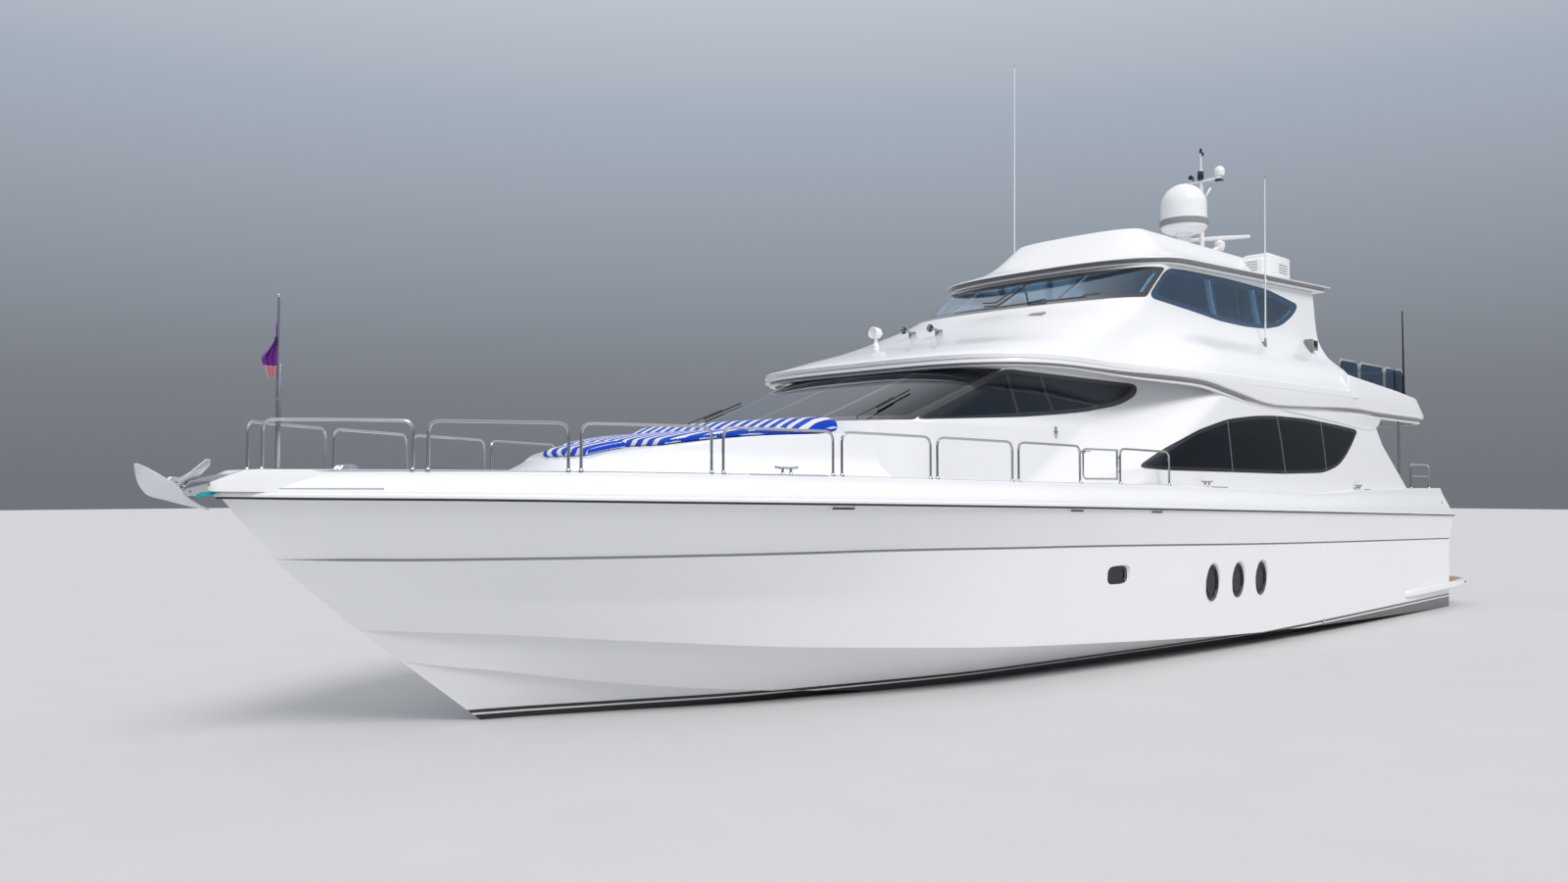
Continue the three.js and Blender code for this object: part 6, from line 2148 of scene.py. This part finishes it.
@dataclass
class Furniture:
    """What shows through the glass and in the cockpit."""

    def build(self) -> None:
        """Make every piece."""
        self.helm()
        self.sofa(
            "bridge_sofa", 4.302, [((-5.6, 1.15), (-3.2, 1.9)), ((-5.6, 0.3), (-5.05, 1.15))], 4.74,
            [((-5.6, 1.76), (-3.2, 1.95)), ((-5.8, 0.3), (-5.61, 1.95))], 5.24,
        )
        sole = LINES.height["deck"](-4.8)
        self.sofa(
            "saloon_sofa", sole, [((-6.6, -2.6), (-3.0, -1.85))], 2.6, [((-6.6, -2.7), (-3.0, -2.48))], 3.05
        )
        sole = LINES.height["deck"](-10.6)
        self.sofa(
            "cockpit_bench", sole, [((-10.94, -1.35), (-10.3, 2.1))], 2.38,
            [((-10.94, -1.35), (-10.79, 2.1))], 2.47
        )
        deck = LINES.height["deck"](2.4)
        counter = Form.block((1.2, 0.9, deck), (3.6, 1.5, 3.01), 0.01).add(
            Form.block((3.0, -0.9, deck), (3.6, 0.95, 3.01), 0.01)
        )
        top = Form.block((1.19, 0.89, 3.01), (3.6, 1.5, 3.05), 0.012).add(
            Form.block((2.99, -0.9, 3.01), (3.6, 0.95, 3.05), 0.012)
        )
        keep("galley_joinery", counter.add(top.dressed(1)), CHERRY, GREY, node="galley_counter")

    def sofa(
        self, name: str, sole: float, seats: list, seat_top: float, backs: list, back_top: float
    ) -> None:
        """Make a sofa: plinths, seat cushions and back cushions, about 0.8 m long each."""
        frame, soft = Form(), Form()
        pad = 0.13
        for (x0, y0), (x1, y1) in seats:
            frame.add(Form.block((x0, y0, sole), (x1, y1, seat_top - pad), 0.02))
        for (x0, y0), (x1, y1) in backs:
            frame.add(Form.block((x0, y0, sole), (x1, y1, seat_top - 0.02), 0.01))
        for spans, low, high in ((seats, seat_top - pad, seat_top), (backs, seat_top - 0.02, back_top)):
            for (x0, y0), (x1, y1) in spans:
                along = 0 if x1 - x0 > y1 - y0 else 1
                start, end = ((x0, x1), (y0, y1))[along]
                count = max(1, round((end - start) / 0.8))
                for k in range(count):
                    a, b = mix(start, end, k / count) + 0.004, mix(start, end, (k + 1) / count) - 0.004
                    corners = ((a, y0, low), (b, y1, high)) if along == 0 else ((x0, a, low), (x1, b, high))
                    soft.add(cushion(*corners, crown=0.02, cells=7))
        keep(f"{name}_frame", frame, GELCOAT, node=name)
        keep_padded(f"{name}_cushions", soft, HIDE)

    def helm(self) -> None:
        """Make the helm console with its wheel and screens, and the chair."""
        outline = [
            (-1.3, 4.302), (-0.5, 4.302), (-0.46, 5.2), (-0.5, 5.25), (-0.9, 5.42), (-1.0, 5.41), (-1.3, 5.24)
        ]
        console = Form.prism(outline, -1.65, 0.25).eased(0.025, 3, 40.0)
        screens = Form()
        for y in (-1.3, -0.7, -0.1):
            screen = Form.block((-0.15, -0.24, 0.0), (0.15, 0.24, 0.012), 0.004)
            screens.add(screen.turned_by(-29, "Y").moved((-1.16, y, 5.325)))
        rim = [(0.2 * math.cos(math.tau * k / 24), 0.2 * math.sin(math.tau * k / 24), 0.0) for k in range(25)]
        wheel = tube(rim, 0.014)
        for k in range(3):
            angle = math.tau * k / 3
            wheel.add(tube([(0, 0, -0.03), (0.2 * math.cos(angle), 0.2 * math.sin(angle), 0.0)], 0.008))
        wheel.add(Form.post((0, 0), -0.14, -0.01, 0.025)).turned_by(-65, "Y").moved((-1.42, -0.7, 5.1))
        keep("helm_console_unit", console.add(screens.dressed(1), wheel.dressed(2)), HIDE, BLACK, STEEL,
             node="helm_console")
        post = Form.post((-2.2, -0.7), 4.302, 4.9, 0.06, steps=24).add(
            Form.post((-2.2, -0.7), 4.302, 4.33, 0.16, steps=28, ease_by=0.008))
        keep("helm_chair_post", post, STEEL, node="helm_chair")
        chair = cushion((-2.48, -0.98, 4.88), (-1.95, -0.42, 5.01)).add(
            cushion((-2.6, -0.98, 4.95), (-2.47, -0.42, 5.62))
        )
        keep_padded("helm_chair_cushions", chair, HIDE)


@dataclass
class RunningGear:
    """Shafts in their struts, propellers and spade rudders."""

    y: float = 1.35
    aft: float = -9.35
    aft_z: float = -1.15
    slope: float = 0.075
    blades: int = 5
    rows: tuple[tuple[float, float, float, float], ...] = (
        (0.05, 0.09, 1.05, 0.024), (0.2, 0.15, 0.8, 0.018), (0.36, 0.175, 0.6, 0.012),
        (0.48, 0.12, 0.5, 0.008),
        (0.518, 0.03, 0.48, 0.005),
    )

    def on_axis(self, forward: float) -> tuple[float, float, float]:
        """Return the point on the shaft's axis at a distance ahead of its aft end."""
        return (self.aft + forward, self.y, self.aft_z + self.slope * forward)

    def build(self) -> None:
        """Make both sides."""
        shaft = Form.rod(self.on_axis(3.8), self.on_axis(0.0), 0.05, steps=28)
        shaft.add(Form.rod(self.on_axis(0.5), self.on_axis(0.06), 0.095, 0.085, 32, 0.012))
        shaft.add(Form.rod(self.on_axis(3.75), self.on_axis(2.85), 0.11, 0.08, 28, 0.012), self.strut())
        keep_pair("shaft_and_strut", shaft, STEEL, node="propeller_shaft")
        keep_pair("propeller_wheel", self.propeller(), BRONZE, node="propeller", body="propeller_{}",
                  crease=50.0)
        keep_pair("rudder_blade", self.rudder(), ANTIFOUL, STEEL, node="rudder", body="rudder_{}")

    @staticmethod
    def foil(angle: float, chord: float, thick: float) -> tuple[float, float]:
        """Return a point round a symmetrical foil, from its nose at angle zero."""
        along = 0.5 + 0.5 * math.cos(angle)
        fat = 2.6 * math.sqrt(max(1 - along, 0.0)) * along**0.9
        return (along - 0.68) * chord, math.copysign(min(fat, 1.0) * thick / 2, math.sin(angle))

    def strut(self) -> Form:
        """Make the strut that holds the shaft's aft bearing."""
        low, high = Vector(self.on_axis(0.3)), Vector((self.aft + 0.56, self.y - 0.02, -0.55))

        def place(u: float, v: float) -> Vector:
            """Return the strut's point round its section and up."""
            along, across = self.foil(math.tau * u, 0.26, 0.05)
            return low.lerp(high, v) + Vector((along, across, 0.0))

        return Form.skin(24, 6, place)

    def propeller(self) -> Form:
        """Make the hub with its blades, tilted to the shaft."""
        half, pitch, thick = (curve([(row[0], row[k]) for row in self.rows]) for k in (1, 2, 3))

        def place(u: float, v: float) -> Vector:
            """Return a blade's point round its section and along its radius."""
            r = mix(self.rows[0][0], self.rows[-1][0], v)
            a, t = half(r) * math.cos(math.tau * u), thick(r) * math.sin(math.tau * u)
            c, s = math.cos(pitch(r)), math.sin(pitch(r))
            return Vector((a * s + t * c, a * c - t * s, r))

        profile = [
            (0, -0.13), (0.03, -0.13), (0.055, -0.115), (0.07, -0.09), (0.095, 0.12), (0.09, 0.13), (0, 0.13)
        ]
        wheel = Form.turned(profile, 40).turned_by(90, "Y")
        for k in range(self.blades):
            wheel.add(Form.skin(28, 20, place).turned_by(360.0 * k / self.blades, "X"))
        tilt = math.atan(self.slope)
        back = 0.1304
        wheel.turned_by(-math.degrees(tilt), "Y")
        return wheel.moved((self.aft - back * math.cos(tilt), self.y, self.aft_z - back * math.sin(tilt)))

    def rudder(self) -> Form:
        """Make a rudder with its stock."""
        x, top, low = -10.45, -0.65, -1.46

        def place(u: float, v: float) -> Vector:
            """Return the blade's point round its section and up."""
            along, across = self.foil(math.tau * u, mix(0.56, 0.7, v), 0.09)
            return Vector((x + along, self.y + across, mix(low, top, v)))

        head = LINES.point("chine", x).z
        stock = Form.rod((x, self.y, top - 0.02), (x, self.y, min(head, -0.475)), 0.04, steps=28)
        return Form.skin(32, 8, place).eased(0.01, 2, 60.0).add(stock.dressed(1))


# Fittings


@dataclass
class Platform:
    """Swim platform, which runs forward as a wing along each quarter."""

    outline: Outline = (
        (-9.3, 2.7), (-9.3, 2.975), (-10.3, 3.0), (-12.0, 3.0), (-13.0, 2.91), (-13.34, 2.61), (-13.43, 1.5),
    )
    rise: float = 0.018

    def slab(self, inset: float, low: float, high: float, radius: float) -> Form:
        """Make a layer of the platform."""
        loop = list(self.outline) + [(x, -y) for x, y in reversed(self.outline)]
        slab = Form.prism(rounded(offset(loop, -inset), 0.12, 4), low, high, "Z").eased(radius, 4, 60.0)
        for vertex in slab.bm.verts:
            vertex.co.z += self.rise * (-9.3 - vertex.co.x)
        return slab

    def build(self) -> None:
        """Make the platform with its planked top and its rubbing strip."""
        body = self.slab(0.0, 0.34, 0.48, 0.04)
        keep("platform_moulding", body, GELCOAT, node="swim_platform", crease=35.0)
        aft = Form.block((-13.6, -3.2, 0.2), (-12.06, 3.2, 0.9))
        planks = self.slab(0.1, 0.47, 0.488, 0.003).cut(aft, Cut.KEEP)
        keep("platform_planking", planks, TEAK)
        strip = self.slab(-0.006, 0.4, 0.43, 0.008).cut(
            Form.block((-13.6, -3.2, 0.2), (-12.8, 3.2, 0.9)), Cut.KEEP
        )
        keep("platform_rubbing_strip", strip, RUBBER)


@dataclass
class Fittings:
    """Cleats, scuppers, lights, horns, wipers and the other small things."""

    cleats: tuple[float, ...] = (7.1, -1.05, -6.95)
    chafe: Outline = ((7.6, 6.72), (-1.0, -1.5), (-6.95, -7.3))
    scuppers: tuple[float, ...] = (6.54, 2.69, 0.73)

    def build(self) -> None:
        """Make them all."""
        self.on_the_cap()
        self.on_the_sides()
        self.on_the_brow()
        self.lights()
        self.wipers()

    def on_the_cap(self) -> None:
        """Make the cleats and the chafe strips by them."""
        steel = Form()
        for x in self.cleats:
            y, z = LINES.breadth["deck"](x) - 0.2, CAP_HEIGHT(x) + 0.002
            for shift in (-0.06, 0.06):
                steel.add(foot((x + shift, y, z), 0.014), Form.post((x + shift, y), z, z + 0.07, 0.015))
            steel.add(tube([(x - 0.16, y, z + 0.078), (x - 0.08, y, z + 0.07), (x + 0.08, y, z + 0.07),
                            (x + 0.16, y, z + 0.078)], 0.013, 0.03, 3))
        for start, end in self.chafe:
            path = [LINES.edge(x, -0.108, CAP_HEIGHT(x) - 0.004) for x in steps(start, end, 10)]
            steel.add(Form.pipe([path], 0.009, 2))
        keep("cleats", steel.both_sides(), STEEL)

    def on_the_sides(self) -> None:
        """Make the scuppers under the rub rail, the strip at the bow and the filler on the house side."""
        dark, bright = Form(), Form()

        def plate(start: float, end: float, low: float, high: float, out: float) -> Form:
            """Make a thin plate on the side, its heights as parts of the way from the deck to the knuckle."""

            def place(u: float, v: float) -> Vector:
                """Return the plate's point."""
                x = mix(start, end, u)
                deck, knuckle = LINES.point("deck", x), LINES.point("knuckle", x)
                return deck.lerp(knuckle, mix(low, high, v)) + Vector((0.0, out, 0.0))

            sheet = Form.sheet(8, 2, place)
            bmesh.ops.solidify(sheet.bm, geom=sheet.bm.faces, thickness=0.006)
            return sheet.outward()

        # The black plate on each white plate is painted shade for the scupper's opening, which is not cut.
        for x in self.scuppers:
            bright.add(plate(x - 0.17, x + 0.17, 0.1, 0.17, 0.004))
            dark.add(plate(x - 0.14, x + 0.14, 0.115, 0.15, 0.007))
        keep("scupper_plates", bright.both_sides(), GELCOAT)
        keep("scupper_slots", dark.both_sides(), BLACK)
        strip = [LINES.edge(x, -0.028, 2.497) for x in steps(11.64, 10.84, 8)]
        steel = Form.pipe([strip], 0.01, 2)
        ring = [
            (
                1.672 + 0.028 * math.cos(t), 2.252, 3.287 + 0.075 * math.sin(t)
            ) for t in steps(0.0, math.tau, 24)
        ]
        steel.add(
            tube(ring, 0.009),
            Form.rod((1.672, 2.23, 3.287), (1.672, 2.26, 3.287), 0.022, steps=24, ease_by=0.004)
        )
        stern = Vector((-11.33, 2.975, 2.2))
        steel.add(Form.rod(stern - Vector((0, 0.03, 0)), stern + Vector((0, 0.01, 0)), 0.03, ease_by=0.006))
        low = Vector((-5.218, 3.018, 0.215))
        steel.add(Form.rod(low - Vector((0, 0.03, 0)), low + Vector((0, 0.02, 0)), 0.035, ease_by=0.006))
        keep("side_fittings", steel.both_sides(), STEEL)

    def on_the_brow(self) -> None:
        """Make the horns, the searchlight and the brow lamp."""
        steel, white = Form(), Form()
        profile = [
            (0.0, -0.02), (0.016, -0.02), (0.018, 0.1), (0.024, 0.18), (0.038, 0.25), (0.062, 0.29),
            (0.06, 0.296),
            (0.034, 0.256), (0.016, 0.2), (0.0, 0.19),
        ]
        for x, y, z in ((1.3, -0.68, 4.923), (1.44, -0.02, 4.88)):
            steel.add(Form.turned(profile, 28).turned_by(90, "Y").turned_by(12, "Z").moved((x, y, z + 0.075)))
            steel.add(Form.block((x - 0.06, y - 0.035, z - 0.02), (x + 0.06, y + 0.035, z + 0.09), 0.015))
        keep("horns", steel, STEEL)
        x, y, z = 1.6, -1.195, 4.79
        white.add(Form.post((x, y), z - 0.02, z + 0.14, 0.035, 0.028, 20), foot((x, y, z - 0.005), 0.035))
        head = [
            (0, -0.12), (0.05, -0.11), (0.085, -0.06), (0.095, 0.0), (0.095, 0.07), (0.085, 0.08),
            (0.08, 0.065), (0, 0.06)
        ]
        white.add(Form.turned(head, 32).turned_by(90, "Y").moved((x, y, z + 0.22)))
        keep("searchlight", white, GELCOAT)
        lamp = Form.block((-0.06, -0.13, -0.02), (0.06, 0.13, 0.012), 0.006).turned_by(20.6, "Y")
        keep("brow_lamp", lamp.moved((0.59, 1.2, 5.163)), GREY)

    def lights(self) -> None:
        """Make the side lights on the legs of the roof."""
        x, y, z = -6.5, 2.36, 5.17
        for side, sign, lens in (("port", 1, RED), ("starboard", -1, GREEN)):
            light = Form.block((x - 0.07, y - 0.02, z - 0.06), (x + 0.07, y + 0.1, z + 0.08), 0.012)
            light.add(
                Form.block((x + 0.03, y + 0.02, z - 0.03), (x + 0.078, y + 0.106, z + 0.05), 0.01).dressed(1)
            )
            light.add(Form.prism([(x - 0.1, z - 0.1), (x + 0.1, z - 0.1), (x + 0.16, z + 0.1),
                                  (x + 0.1, z + 0.1),
                                  (x + 0.06, z - 0.06),
                                  (x - 0.1, z - 0.06)], y - 0.07, y + 0.09).eased(0.006).dressed(2))
            keep(f"side_light_{side}", light if sign > 0 else light.mirrored(), BLACK, lens, GREY)

    def wipers(self) -> None:
        """Lay the wipers on the windscreens."""
        dark = Form()
        up = Vector((0.35, 0.18, 0.92)) * 0.03
        foot_end, tip, pivot = Vector(
            (4.745, 1.695, 3.488)
        ), Vector((4.076, 1.65, 3.749)), Vector((5.15, 1.74, 3.36))
        dark.add(
            tube([foot_end + up, tip + up], 0.011),
            tube([pivot, pivot + up, foot_end.lerp(tip, 0.5) + up * 1.5], 0.009)
        )
        dark.both_sides()
        up = Vector((0.46, 0.0, 0.89)) * 0.03
        for turn, end in ((-1, Vector((-0.19, -0.13, 5.545))), (1, Vector((-0.02, 0.62, 5.44)))):
            top = Vector((-0.72, 0.06 * turn, 5.86))
            dark.add(tube([top, top + up, top.lerp(end, 0.72) + up], 0.012))
            dark.add(tube([top.lerp(end, 0.45) + up, end + up], 0.012))
            dark.add(tube([end + up, end + up + Vector((-0.05, 0.3 * turn, 0.028))], 0.01))
        keep("wipers", dark, RUBBER)


# Scene


@dataclass
class Studio:
    """Camera, floor and lights."""

    place: tuple[float, float, float] = (15.74, 11.71, 2.5)
    heading: float = 226.82
    pitch: float = 2.3
    lens: float = 27.27

    def build(self) -> None:
        """Set up the view."""
        data = bpy.data.cameras.new("camera")
        data.sensor_width = 36.0
        data.lens = self.lens
        data.clip_end = 400.0
        camera = bpy.data.objects.new("camera", data)
        camera.location = self.place
        camera.rotation_euler = (math.radians(90 + self.pitch), 0.0, math.radians(self.heading - 90))
        bpy.context.scene.collection.objects.link(camera)
        bpy.context.scene.camera = camera
        self.floor()
        self.lights()

    def floor(self) -> None:
        """Lay the plain pale floor at the waterline."""
        form = Form()
        bmesh.ops.create_grid(form.bm, x_segments=1, y_segments=1, size=150.0)
        mesh = bpy.data.meshes.new("floor")
        form.bm.to_mesh(mesh)
        mesh.materials.append(Finish("floor", (0.6, 0.605, 0.615), None, 0.6, 0.7, ripple=0.0).material())
        floor = bpy.data.objects.new("floor", mesh)
        bpy.context.scene.collection.objects.link(floor)

    def lights(self) -> None:
        """Light the boat softly from above and ahead."""
        world = bpy.data.worlds.new("studio")
        bpy.context.scene.world = world
        bpy.context.scene.view_settings.view_transform = "Standard"
        world.use_nodes = True
        nodes, links = world.node_tree.nodes, world.node_tree.links
        ground = nodes["Background"]
        ground.inputs["Strength"].default_value = 0.82
        coordinates = nodes.new("ShaderNodeTexCoord")
        split = nodes.new("ShaderNodeSeparateXYZ")
        links.new(coordinates.outputs["Generated"], split.inputs[0])
        ramp = nodes.new("ShaderNodeValToRGB")
        stops = ramp.color_ramp.elements
        stops[0].position, stops[0].color = 0.0, (0.2, 0.215, 0.24, 1)
        stops[1].position, stops[1].color = 1.0, (0.97, 0.98, 1.0, 1)
        for place, colour in (
            (0.08, (0.24, 0.26, 0.29, 1)), (0.3, (0.46, 0.52, 0.61, 1)), (0.55, (0.93, 0.95, 1.0, 1))
        ):
            stops.new(place).color = colour
        links.new(split.outputs[2], ramp.inputs[0])
        links.new(ramp.outputs[0], ground.inputs["Color"])
        sun = bpy.data.lights.new("sun", "SUN")
        sun.energy = 1.95
        sun.angle = math.radians(25)
        sun.color = (1.0, 0.98, 0.95)
        lamp = bpy.data.objects.new("sun", sun)
        lamp.rotation_euler = Vector((0.25, 0.75, 0.85)).to_track_quat("Z", "Y").to_euler()
        bpy.context.scene.collection.objects.link(lamp)


def main() -> None:
    """Build every part of the boat in order."""
    logging.basicConfig(level=logging.INFO, format="%(message)s")
    parts = (
        Studio, Hull, Bulwark, Trunk, MainHouse, BoatDeck, UpperHouse, Hardtop, Rails, BowGear, SunPads,
        RoofGear, Doors,
        Furniture, RunningGear, Platform, Fittings,
    )
    for part in parts:
        LOG.info("building %s", part.__name__)
        part().build()


if __name__ == "__main__":
    main()
